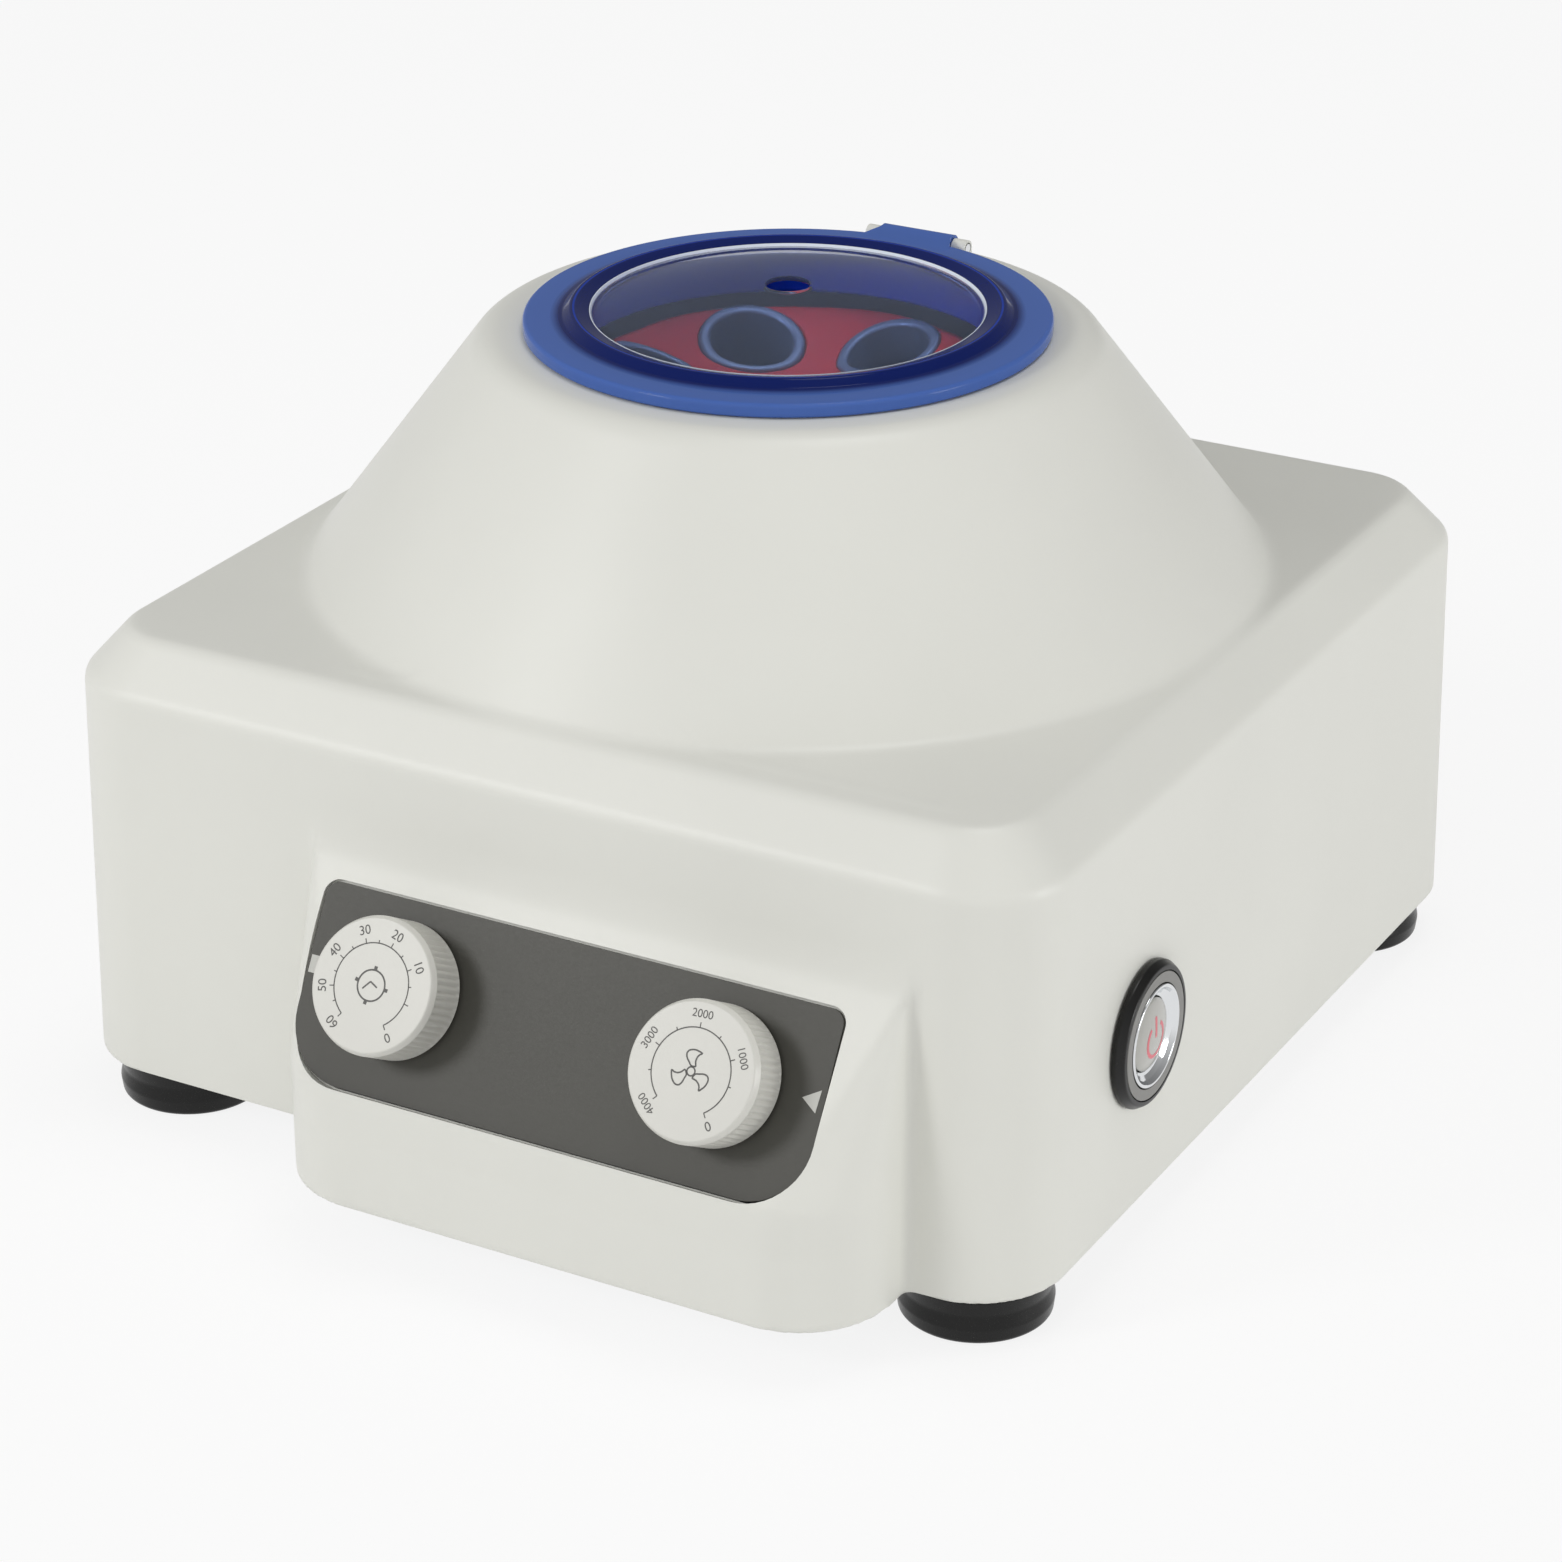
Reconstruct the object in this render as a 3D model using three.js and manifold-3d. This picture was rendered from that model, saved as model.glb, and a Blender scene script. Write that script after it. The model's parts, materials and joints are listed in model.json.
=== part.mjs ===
// Bench centrifuge for six leaning tubes, with a hinged translucent lid, two dials and a round power button.
// Millimetres, +Z up. X runs across the front, -Y faces the person at the dials.
// The model stands on its four feet, centred on its bounding box.
import * as THREE from "three";
import { mergeVertices } from "three/addons/utils/BufferGeometryUtils.js";
import Module from "manifold-3d";

const wasm = await Module();
wasm.setup();

const DEGREE = Math.PI / 180;
const FULL_TURN = 2 * Math.PI;

// Shared clearances and cutting allowance
const GAP = 0.3;
const OVERRUN = 2;

// Facets on round pieces
const LARGE_SIDES = 40;
const ROUND_SIDES = 32;
const MIDDLE_SIDES = 18;
const TUBE_SIDES = 12;
const FOOT_SIDES = 16;
const SMALL_SIDES = 8;
const HEX_SIDES = 6;
const CORNER_STEPS = 4;

// Feet
const FOOT_RADIUS = 19.4;
const FOOT_HEIGHT = 13.7;
const FOOT_EDGE = 3.2;
const FOOT_INSET = 23.5;
const FOOT_SINK_RADIUS = 6;
const FOOT_SINK_DEPTH = 6;

// Housing body
const BODY_WIDTH = 279;
const BODY_DEPTH = 279.2;
const BODY_HEIGHT = 119.1;
const BODY_DRAFT = 1.5;
const BODY_CORNER = 24;
const BEVEL_RUN = 11;
const BEVEL_DROP = 12.7;
const TOP_CORNER = 16;
const WALL = 3;

// Housing cone
const CONE_HEIGHT = 62.4;
const CONE_LEDGE = 1.3;
const CONE_RIM = 6.1;
const CONE_SHOULDER = 9.2;
const NECK_DEPTH = 7;
const NECK_WALL = 2.5;

// Control bump on the front wall
const BUMP_WIDTH = 165.7;
const BUMP_SIDE_GAP = 30.3;
const BUMP_TOP_Z = 94.6;
const BUMP_DEPTH = 32;
const BUMP_LEAN = 30 * DEGREE;
const BUMP_CORNER = 24;
const BUMP_CORNER_share = 0.78;

// Lid
const LID_FLANGE = 8.7;
const LID_THICKNESS = 3.6;
const LID_EDGE = 1.1;
const SKIRT_MARGIN = 22.3;
const SKIRT_CLEARANCE = 1.1;
const SKIRT_WALL = 4.4;
const SKIRT_DEPTH = 10.4;
const DOME_RISE = 7.6;
const DOME_WALL = 2.2;
const VENT_RADIUS = 5.6;
const VENT_BOSS_RADIUS = 11;
const VENT_BOSS_DEPTH = 3.4;

// Lid hinge
const KNUCKLE_RADIUS = 3.2;
const KNUCKLE_WIDTH = 21;
const KNUCKLE_RISE = 1;
const HINGE_OFFSET = 4;
const LUG_RADIUS = 3;
const LUG_WIDTH = 4;
const LUG_GAP = 0.4;
const HINGE_PIN_RADIUS = 1.5;

// Rotor
const TUBE_COUNT = 6;
const TUBE_FIRST_ANGLE = 16 * DEGREE;
const TUBE_LEAN = 22 * DEGREE;
const TUBE_MOUTH_RADIUS = 37;
const ROTOR_TOP_GAP = 2.3;
const ROTOR_HEIGHT = 61;
const ROTOR_RIM_MARGIN = 15;
const ROTOR_RIM_CHAMFER = 2.2;
const ROTOR_DISH_RADIUS = 16;
const ROTOR_PLATE = 20;
const ROTOR_HUB_RADIUS = 17;
const SPOT_FACE_DEPTH = 1.3;

// Tube sleeves
const SLEEVE_BORE = 11.1;
const SLEEVE_WALL = 1.5;
const SLEEVE_LENGTH = 92;
const SLEEVE_RIM_STEP = 1.6;
const SLEEVE_RIM_THICKNESS = 3;
const SLEEVE_NOSE = 5;

// Chamber bowl under the cone
const BOWL_INSET = 14.7;
const BOWL_WALL = 1.4;
const SWING_GAP = 7;
const BOWL_CORNER = 8;
const BOWL_FLANGE = 5;
const BOWL_HOLE_RADIUS = 15;
const EAR_REACH = 21.9;
const EAR_RADIUS = 7;
const EAR_BOSS_RADIUS = 6;
const EAR_BOSS_HEIGHT = 3;

// Base plate
const PLATE_THICKNESS = 2;
const PLATE_RECESS = 0.5;
const PLATE_CLEARANCE = 0.4;
const SLOT_COUNT = 5;
const SLOT_WIDTH = 5;
const SLOT_LENGTH = 46;
const SLOT_PITCH = 11;

// Screws
const M4_RADIUS = 2;
const M4_HEAD_RADIUS = 4;
const M4_HEAD_HEIGHT = 2.8;
const M3_RADIUS = 1.5;
const M3_HEAD_RADIUS = 2.8;
const M3_HEAD_HEIGHT = 2;
const CORNER_POST_RADIUS = 5.2;
const FOOT_SCREW_REACH = 26;
const BOWL_SCREW_REACH = 3.6;

// Motor and its mount
const SHAFT_RADIUS = 4;
const SHAFT_COLLAR_RADIUS = 7;
const SHAFT_COLLAR_HEIGHT = 5;
const SHAFT_PROUD = 4.6;
const SHAFT_SINK = 12;
const MOTOR_RADIUS = 38;
const MOTOR_CLEARANCE = 8.8;
const MOTOR_EDGE = 3;
const MOTOR_BOSS_RADIUS = 11;
const MOTOR_BOSS_RISE = 2;
const MOUNT_DROP = 10;
const MOUNT_THICKNESS = 3;
const MOUNT_RADIUS = 66;
const MOUNT_COUNT = 3;
const POST_PLACE = 54;
const POST_RADIUS = 6;
const POST_SPIGOT_RADIUS = 3;
const POST_BORE_DEPTH = 16;
const DAMPER_RADIUS = 8.5;
const DAMPER_WAIST = 7;
const DAMPER_HEIGHT = 9;
const MOTOR_SCREW_PLACE = 26;
const MOTOR_SCREW_REACH = 7;
const NUT_RADIUS = 10;
const NUT_HEIGHT = 11;
const NUT_DOME = 3;

// Faceplate and knobs, measured along the leaning face from its edges
const FACE_LEFT_MARGIN = 6.7;
const FACE_RIGHT_MARGIN = 13.6;
const FACE_TOP = 7.6;
const FACE_LOW_MARGIN = 6.8;
const FACE_THICKNESS = 1;
const FACE_RECESS = 0.8;
const FACE_SMALL_CORNER = 4;
const FACE_LARGE_CORNER = 17;
const KNOB_LIFT = 2.4;
const TIMER_MARGIN = 27.4;
const SPEED_MARGIN = 29;
const KNOB_RADIUS = 17.2;
const KNOB_HEIGHT = 11.2;
const KNOB_FLUTES = 22;
const KNOB_FLUTE_DEPTH = 0.5;
const KNOB_BAND = 3;
const KNOB_LIP = 1.6;
const KNOB_LIP_RISE = 0.5;
const KNOB_SKIRT = 2.2;
const KNOB_SEAT = 3.6;
const KNOB_FLOAT = 0.7;
const KNOB_STEM_RADIUS = 3;
const BUSHING_RADIUS = 4.6;
const BUSHING_RISE = 3;
const CONTROL_NUT_RADIUS = 7;
const CONTROL_NUT_HEIGHT = 2.3;
const TIMER_SIDE = 32;
const TIMER_LENGTH = 22;
const POT_RADIUS = 12;
const POT_LENGTH = 12;
const STEM_SINK = 8;

// Power button in the right wall
const SWITCH_Y = -73.6;
const SWITCH_Z = 60.6;
const BEZEL_RADIUS = 18.8;
const BEZEL_FACE_RADIUS = 17.3;
const BEZEL_HEIGHT = 3.6;
const BEZEL_LIP = 0.9;
const BARREL_RADIUS = 14.6;
const BARREL_WALL = 1.2;
const BARREL_LENGTH = 24;
const TRIM_RADIUS = 16.2;
const TRIM_THICKNESS = 0.7;
const RING_RADIUS = 13.1;
const RING_DEPTH = 4;
const BUTTON_RADIUS = 9.3;
const BUTTON_HEIGHT = 9;
const BUTTON_CROWN = 1.4;
const BUTTON_TRAVEL = 2.5;
const SWITCH_NUT_RADIUS = 18;
const SWITCH_NUT_THICKNESS = 4;

// Mains inlet in the rear wall
const INLET_X = -70;
const INLET_Z = 52;
const INLET_FLANGE_WIDTH = 50;
const INLET_FLANGE_HEIGHT = 24;
const INLET_FLANGE_THICKNESS = 3;
const INLET_WIDTH = 28;
const INLET_HEIGHT = 21;
const INLET_DEPTH = 22;
const INLET_CORNER = 3;
const SOCKET_WIDTH = 24;
const SOCKET_HEIGHT = 16.6;
const SOCKET_DEPTH = 17;
const SOCKET_CUT = 5;
const BLADE_WIDTH = 2;
const BLADE_HEIGHT = 4;
const BLADE_LENGTH = 13;
const BLADE_PITCH = 7;
const BLADE_DROP = 2;
const INLET_SCREW_PITCH = 40;
const INLET_SCREW_REACH = 7;

// Control board on the base plate
const BOARD_WALL_GAP = 18.5;
const BOARD_MOUNT_GAP = 10.7;
const BOARD_Y = -40;
const BOARD_DEPTH = 78;
const BOARD_THICKNESS = 1.6;
const BOARD_SPACER_RADIUS = 3;
const BOARD_SPACER_HEIGHT = 8;
const BOARD_SPACER_INSET = 5;
const SINK_WIDTH = 6;
const SINK_LENGTH = 34;
const SINK_HEIGHT = 14;
const CAPACITOR_RADIUS = 6;
const CAPACITOR_HEIGHT = 13;
const TERMINAL_WIDTH = 9;
const TERMINAL_LENGTH = 30;
const TERMINAL_HEIGHT = 9;

// Sizes that follow from the ones above
const BODY_BOTTOM_Z = FOOT_HEIGHT;
const BODY_TOP_Z = BODY_BOTTOM_Z + BODY_HEIGHT;
const BEVEL_Z = BODY_TOP_Z - BEVEL_DROP;
const FOOT_X = BODY_WIDTH / 2 - FOOT_INSET;
const FOOT_Y = BODY_DEPTH / 2 - FOOT_INSET;
const SKIRT_RADIUS = TUBE_MOUTH_RADIUS + SKIRT_MARGIN;
const MOUTH_RADIUS = SKIRT_RADIUS + SKIRT_CLEARANCE;
const LID_RADIUS = SKIRT_RADIUS + LID_FLANGE;
const HINGE_Y = LID_RADIUS + HINGE_OFFSET;
const CONE_TOP_Z = BODY_TOP_Z + CONE_HEIGHT;
const CONE_FLAT_RADIUS = LID_RADIUS + CONE_RIM;
const CONE_BASE_RADIUS = Math.min(BODY_WIDTH, BODY_DEPTH) / 2 - BODY_DRAFT - BEVEL_RUN - CONE_LEDGE;
const CONE_SLOPE = coneSlope();
const LID_TOP_Z = CONE_TOP_Z + GAP + LID_THICKNESS;
const HINGE_Z = LID_TOP_Z + KNUCKLE_RISE - KNUCKLE_RADIUS;
const PLATE_BOTTOM_Z = BODY_BOTTOM_Z + PLATE_RECESS;
const PLATE_TOP_Z = PLATE_BOTTOM_Z + PLATE_THICKNESS;
const ROOF_Z = BODY_TOP_Z - WALL;
const FRONT_Y = -BODY_DEPTH / 2;
const SWITCH_WALL_X = wallHalf(BODY_WIDTH, SWITCH_Z);
const INLET_WALL_Y = wallHalf(BODY_DEPTH, INLET_Z);
const SLEEVE_RADIUS = SLEEVE_BORE + SLEEVE_WALL;
const SLEEVE_RIM_RADIUS = SLEEVE_RADIUS + SLEEVE_RIM_STEP;
const TUBE_BORE = SLEEVE_RADIUS + GAP;
const ROTOR_TOP_SLOPE = Math.tan(TUBE_LEAN);
const ROTOR_RIM_RADIUS = TUBE_MOUTH_RADIUS + ROTOR_RIM_MARGIN;
const SEAT_DROP = (SLEEVE_RIM_THICKNESS + GAP - SPOT_FACE_DEPTH) / Math.cos(TUBE_LEAN);
const ROTOR_RIM_Z = CONE_TOP_Z - NECK_DEPTH - WALL - ROTOR_TOP_GAP;
const TUBE_MOUTH_Z = ROTOR_RIM_Z + SEAT_DROP - ROTOR_RIM_MARGIN * ROTOR_TOP_SLOPE;
const ROTOR_BOTTOM_Z = TUBE_MOUTH_Z - ROTOR_HEIGHT;
const SHAFT_TOP_Z = rotorTopZ(ROTOR_DISH_RADIUS) + SHAFT_PROUD;
const SLEEVE_DROP = SLEEVE_LENGTH * Math.cos(TUBE_LEAN) + SLEEVE_RADIUS * Math.sin(TUBE_LEAN);
const BOWL_RADIUS = CONE_BASE_RADIUS - BOWL_INSET;
const BOWL_FLOOR_Z = TUBE_MOUTH_Z - SLEEVE_DROP - SWING_GAP;
const EAR_PLACE = (BOWL_RADIUS + EAR_REACH) / Math.SQRT2;
const MOUNT_Z = BOWL_FLOOR_Z - MOUNT_DROP;
const SHAFT_BOTTOM_Z = MOUNT_Z - SHAFT_SINK;
const MOTOR_BOTTOM_Z = PLATE_TOP_Z + MOTOR_CLEARANCE;
const BUMP_RIGHT = BODY_WIDTH / 2 - BUMP_SIDE_GAP;
const BUMP_LEFT = BUMP_RIGHT - BUMP_WIDTH;
const FACE_LEFT = BUMP_LEFT + FACE_LEFT_MARGIN;
const FACE_RIGHT = BUMP_RIGHT - FACE_RIGHT_MARGIN;
const FACE_BOTTOM = BUMP_DEPTH / Math.sin(BUMP_LEAN) - FACE_LOW_MARGIN;
const KNOB_DOWN = (FACE_TOP + FACE_BOTTOM) / 2 - KNOB_LIFT;
const TIMER_X = FACE_LEFT + TIMER_MARGIN;
const SPEED_X = FACE_RIGHT - SPEED_MARGIN;
const KNOB_BASE = FACE_THICKNESS + GAP - FACE_RECESS + KNOB_FLOAT;
const BARREL_HOLE = BARREL_RADIUS + GAP;

// The cone's slope, on the line from its base that meets the round shoulder under the flat.
function coneSlope() {
  const run = CONE_BASE_RADIUS - CONE_FLAT_RADIUS;
  const rise = CONE_HEIGHT - CONE_SHOULDER;
  return Math.atan2(rise, run) + Math.asin(CONE_SHOULDER / Math.hypot(run, rise));
}

// Half the body's width or depth at a height on its drafted walls.
function wallHalf(size, z) {
  const rise = (z - BODY_BOTTOM_Z) / (BEVEL_Z - BODY_BOTTOM_Z);
  return size / 2 - BODY_DRAFT * rise;
}

// Materials
const whiteShell = new THREE.MeshStandardMaterial({ color: 0xdddcd6, roughness: 0.42, metalness: 0 });
const blueClear = new THREE.MeshStandardMaterial({
  color: 0x3a4fa8,
  roughness: 0.12,
  metalness: 0,
  transparent: true,
  opacity: 0.6,
});
const redPaint = new THREE.MeshStandardMaterial({ color: 0xc23a34, roughness: 0.4, metalness: 0 });
const satinSteel = new THREE.MeshStandardMaterial({ color: 0xb9bcc0, roughness: 0.35, metalness: 1 });
const brightSteel = new THREE.MeshStandardMaterial({ color: 0xd8dadd, roughness: 0.12, metalness: 1 });
const zincSteel = new THREE.MeshStandardMaterial({ color: 0x9ea1a4, roughness: 0.45, metalness: 1 });
const castAluminium = new THREE.MeshStandardMaterial({ color: 0xa8abad, roughness: 0.5, metalness: 1 });
const blackRubber = new THREE.MeshStandardMaterial({ color: 0x23231f, roughness: 0.7, metalness: 0 });
const blackPlastic = new THREE.MeshStandardMaterial({ color: 0x1d1d1b, roughness: 0.5, metalness: 0 });
const greyPlate = new THREE.MeshStandardMaterial({ color: 0x5c5b56, roughness: 0.45, metalness: 0 });
const greyTrim = new THREE.MeshStandardMaterial({ color: 0x8c8b87, roughness: 0.4, metalness: 0.4 });
const whiteKnob = new THREE.MeshStandardMaterial({ color: 0xe0ded8, roughness: 0.38, metalness: 0 });
const clearButton = new THREE.MeshStandardMaterial({ color: 0xcdd0cd, roughness: 0.2, metalness: 0 });
const greenBoard = new THREE.MeshStandardMaterial({ color: 0x1f5a3a, roughness: 0.6, metalness: 0 });

// A closed geometry as a solid that can be joined and cut.
function solid(geometry) {
  const bare = geometry.index ? geometry.toNonIndexed() : geometry.clone();
  bare.deleteAttribute("normal");
  bare.deleteAttribute("uv");
  const merged = mergeVertices(bare, 1e-4);
  const corners = [];
  for (let i = 0; i < merged.index.count; i += 3) {
    const [a, b, c] = [0, 1, 2].map((k) => merged.index.getX(i + k));
    if (a !== b && b !== c && a !== c) corners.push(a, b, c);
  }
  return new wasm.Manifold(
    new wasm.Mesh({
      numProp: 3,
      vertProperties: new Float32Array(merged.attributes.position.array),
      triVerts: new Uint32Array(corners),
    }),
  );
}

function geometryOf(body) {
  const mesh = body.getMesh();
  const geometry = new THREE.BufferGeometry();
  geometry.setAttribute("position", new THREE.BufferAttribute(new Float32Array(mesh.vertProperties), 3));
  geometry.setIndex(new THREE.BufferAttribute(new Uint32Array(mesh.triVerts), 1));
  geometry.computeVertexNormals();
  return geometry;
}

function join(first, ...others) {
  return others.reduce((sum, other) => sum.add(other), first);
}

function cut(first, ...others) {
  return others.reduce((rest, other) => rest.subtract(other), first);
}

// A profile of [radius, height] pairs revolved about Z. It runs up the outside and down the inside.
function revolved(profile, sides) {
  const points = profile.map(([radius, height]) => new THREE.Vector2(radius, height));
  return new THREE.LatheGeometry(points, sides).rotateX(Math.PI / 2);
}

// A closed ring profile is a revolved profile that ends where it starts.
function revolvedRing(profile, sides) {
  return revolved([...profile, profile[0]], sides);
}

// A round bar along +Z whose lower end lies at the given height.
function bar(radius, bottom, top, sides = SMALL_SIDES) {
  const geometry = new THREE.CylinderGeometry(radius, radius, top - bottom, sides);
  return geometry.rotateX(Math.PI / 2).translate(0, 0, (bottom + top) / 2);
}

// A box between two opposite corners.
function block(low, high) {
  const size = high.map((value, i) => value - low[i]);
  const middle = high.map((value, i) => (value + low[i]) / 2);
  return new THREE.BoxGeometry(...size).translate(...middle);
}

// Points of an arc in the plane, both ends included.
function arc(x, y, radius, from, to, steps) {
  return Array.from({ length: steps + 1 }, (_, i) => {
    const angle = from + ((to - from) * i) / steps;
    return [x + radius * Math.cos(angle), y + radius * Math.sin(angle)];
  });
}

// A rectangle about the origin with four round corners, counter-clockwise.
function roundedRectangle(halfWidth, halfDepth, radius, steps = CORNER_STEPS) {
  const quarter = Math.PI / 2;
  const x = halfWidth - radius;
  const y = halfDepth - radius;
  return [
    ...arc(x, -y, radius, -quarter, 0, steps),
    ...arc(x, y, radius, 0, quarter, steps),
    ...arc(-x, y, radius, quarter, 2 * quarter, steps),
    ...arc(-x, -y, radius, 2 * quarter, 3 * quarter, steps),
  ];
}

// A closed skin through outlines that have the same number of points, each at its own height.
function lofted(sections) {
  const positions = sections.flatMap(({ z, outline }) => outline.flatMap(([x, y]) => [x, y, z]));
  const count = sections[0].outline.length;
  const faces = [];
  for (let level = 0; level + 1 < sections.length; level += 1) {
    for (let i = 0; i < count; i += 1) {
      const a = level * count + i;
      const b = level * count + ((i + 1) % count);
      faces.push(a, b, b + count, a, b + count, a + count);
    }
  }
  const topStart = (sections.length - 1) * count;
  for (let i = 1; i + 1 < count; i += 1) {
    faces.push(0, i + 1, i);
    faces.push(topStart, topStart + i, topStart + i + 1);
  }
  const geometry = new THREE.BufferGeometry();
  geometry.setAttribute("position", new THREE.Float32BufferAttribute(positions, 3));
  geometry.setIndex(faces);
  return geometry;
}

// An outline as a plate between two heights.
function plate(outline, bottom, top) {
  const shape = new THREE.Shape(outline.map(([x, y]) => new THREE.Vector2(x, y)));
  const options = { depth: top - bottom, bevelEnabled: false };
  return new THREE.ExtrudeGeometry(shape, options).translate(0, 0, bottom);
}

// Places that repeat evenly about the Z axis.
function around(count, radius, first = 0) {
  return Array.from({ length: count }, (_, i) => {
    const angle = first + (FULL_TURN * i) / count;
    return { angle, x: radius * Math.sin(angle), y: radius * Math.cos(angle) };
  });
}

// The four corners of a rectangle, named as a person in front of the object sees them.
function corners(x, y) {
  return [
    { name: "front_left", x: -x, y: -y },
    { name: "front_right", x, y: -y },
    { name: "rear_left", x: -x, y },
    { name: "rear_right", x, y },
  ];
}

function mesh(name, body, material) {
  const geometry = body.isBufferGeometry ? body : geometryOf(body);
  const made = new THREE.Mesh(geometry, material);
  made.name = name;
  return made;
}

// A screw whose head sits on z = 0 and whose shank goes down.
function screw(radius, reach, headRadius, headHeight) {
  return solid(
    revolved(
      [
        [0, -reach],
        [radius, -reach],
        [radius, 0],
        [headRadius, 0],
        [headRadius, headHeight],
        [0, headHeight],
      ],
      SMALL_SIDES,
    ),
  );
}

// Leaning frame of the control face: X across, Y up the face, Z out of it.
function placeOnFace(object) {
  const frame = new THREE.Group();
  frame.position.set(0, FRONT_Y, BUMP_TOP_Z);
  frame.rotation.x = Math.PI / 2 - BUMP_LEAN;
  frame.add(object);
  return frame;
}

function faceMatrix() {
  const turn = new THREE.Matrix4().makeRotationX(Math.PI / 2 - BUMP_LEAN);
  return new THREE.Matrix4().makeTranslation(0, FRONT_Y, BUMP_TOP_Z).multiply(turn);
}

// Matrix that carries a tube's own axis, with its mouth centre at the origin, to its place in the rotor.
function tubeMatrix(angle) {
  const spin = new THREE.Matrix4().makeRotationZ(-angle);
  const lean = new THREE.Matrix4().makeRotationX(TUBE_LEAN);
  const place = new THREE.Matrix4().makeTranslation(0, TUBE_MOUTH_RADIUS, TUBE_MOUTH_Z);
  return spin.multiply(place).multiply(lean);
}

// Housing moulding
function bodyShape(inset, bottom, top) {
  const level = (z, width, depth, radius) => ({
    z,
    outline: roundedRectangle(width / 2 - inset, depth / 2 - inset, radius - inset),
  });
  const draft = 2 * BODY_DRAFT;
  const run = 2 * (BODY_DRAFT + BEVEL_RUN);
  const bevel = BEVEL_Z - (inset * BEVEL_RUN) / BEVEL_DROP / 2;
  return lofted([
    level(bottom, BODY_WIDTH, BODY_DEPTH, BODY_CORNER),
    level(bevel, BODY_WIDTH - draft, BODY_DEPTH - draft, BODY_CORNER),
    level(top, BODY_WIDTH - run, BODY_DEPTH - run, TOP_CORNER),
  ]);
}

// Outer half section of the cone from its base to the flat round the mouth, moved inwards by an inset.
function coneSection(inset, bottom) {
  const bend = CONE_SHOULDER - inset;
  const centre = CONE_TOP_Z - CONE_SHOULDER;
  const turn = Math.PI / 2;
  const shoulder = arc(CONE_FLAT_RADIUS, centre, bend, turn - CONE_SLOPE, turn, CORNER_STEPS);
  const [startRadius, startZ] = shoulder[0];
  const baseRadius = startRadius + (startZ - bottom) / Math.tan(CONE_SLOPE);
  return [[0, bottom], [baseRadius, bottom], ...shoulder, [0, CONE_TOP_Z - inset]];
}

function bumpSection(z, depth, inset) {
  const left = BUMP_LEFT + inset;
  const right = BUMP_RIGHT - inset;
  const front = FRONT_Y - depth;
  const back = FRONT_Y + WALL / 2 + inset;
  const radius = Math.max(Math.min(BUMP_CORNER - inset, depth * BUMP_CORNER_share), GAP);
  const quarter = Math.PI / 2;
  return {
    z,
    outline: [
      [left, back],
      ...arc(left + radius, front + radius, radius, 2 * quarter, 3 * quarter, CORNER_STEPS),
      ...arc(right - radius, front + radius, radius, -quarter, 0, CORNER_STEPS),
      [right, back],
    ],
  };
}

// The bump leans back from its full depth to the wall. The inset gives its hollow.
function bumpShape(inset, bottom) {
  const slope = Math.tan(BUMP_LEAN);
  const top = BUMP_TOP_Z - inset / Math.sin(BUMP_LEAN);
  const full = BUMP_DEPTH - inset;
  const bendZ = top - full / slope;
  const levels = Array.from({ length: CORNER_STEPS + 1 }, (_, i) => {
    const depth = full * (1 - i / CORNER_STEPS);
    return bumpSection(bendZ + (top - bendZ) * (i / CORNER_STEPS), depth, inset);
  });
  return lofted([bumpSection(bottom, full, inset), ...levels]);
}

function faceOutline(margin) {
  const low = -FACE_BOTTOM - margin;
  const high = -FACE_TOP + margin;
  const left = FACE_LEFT - margin;
  const right = FACE_RIGHT + margin;
  const quarter = Math.PI / 2;
  const small = FACE_SMALL_CORNER + margin;
  const large = FACE_LARGE_CORNER + margin;
  return [
    ...arc(right - large, low + large, large, -quarter, 0, CORNER_STEPS),
    ...arc(right - small, high - small, small, 0, quarter, CORNER_STEPS),
    ...arc(left + small, high - small, small, quarter, 2 * quarter, CORNER_STEPS),
    ...arc(left + large, low + large, large, 2 * quarter, 3 * quarter, CORNER_STEPS),
  ];
}

function hingeLug(x) {
  const base = block(
    [x - LUG_WIDTH / 2, HINGE_Y - LUG_RADIUS, CONE_TOP_Z - WALL],
    [x + LUG_WIDTH / 2, HINGE_Y + LUG_RADIUS, HINGE_Z],
  );
  const round = bar(LUG_RADIUS, -LUG_WIDTH / 2, LUG_WIDTH / 2, MIDDLE_SIDES);
  return join(solid(base), solid(round.rotateY(Math.PI / 2).translate(x, HINGE_Y, HINGE_Z)));
}

function hingeBar(radius, halfLength) {
  return bar(radius, -halfLength, halfLength).rotateY(Math.PI / 2).translate(0, HINGE_Y, HINGE_Z);
}

function lugPlace() {
  return KNUCKLE_WIDTH / 2 + LUG_GAP + LUG_WIDTH / 2;
}

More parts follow.
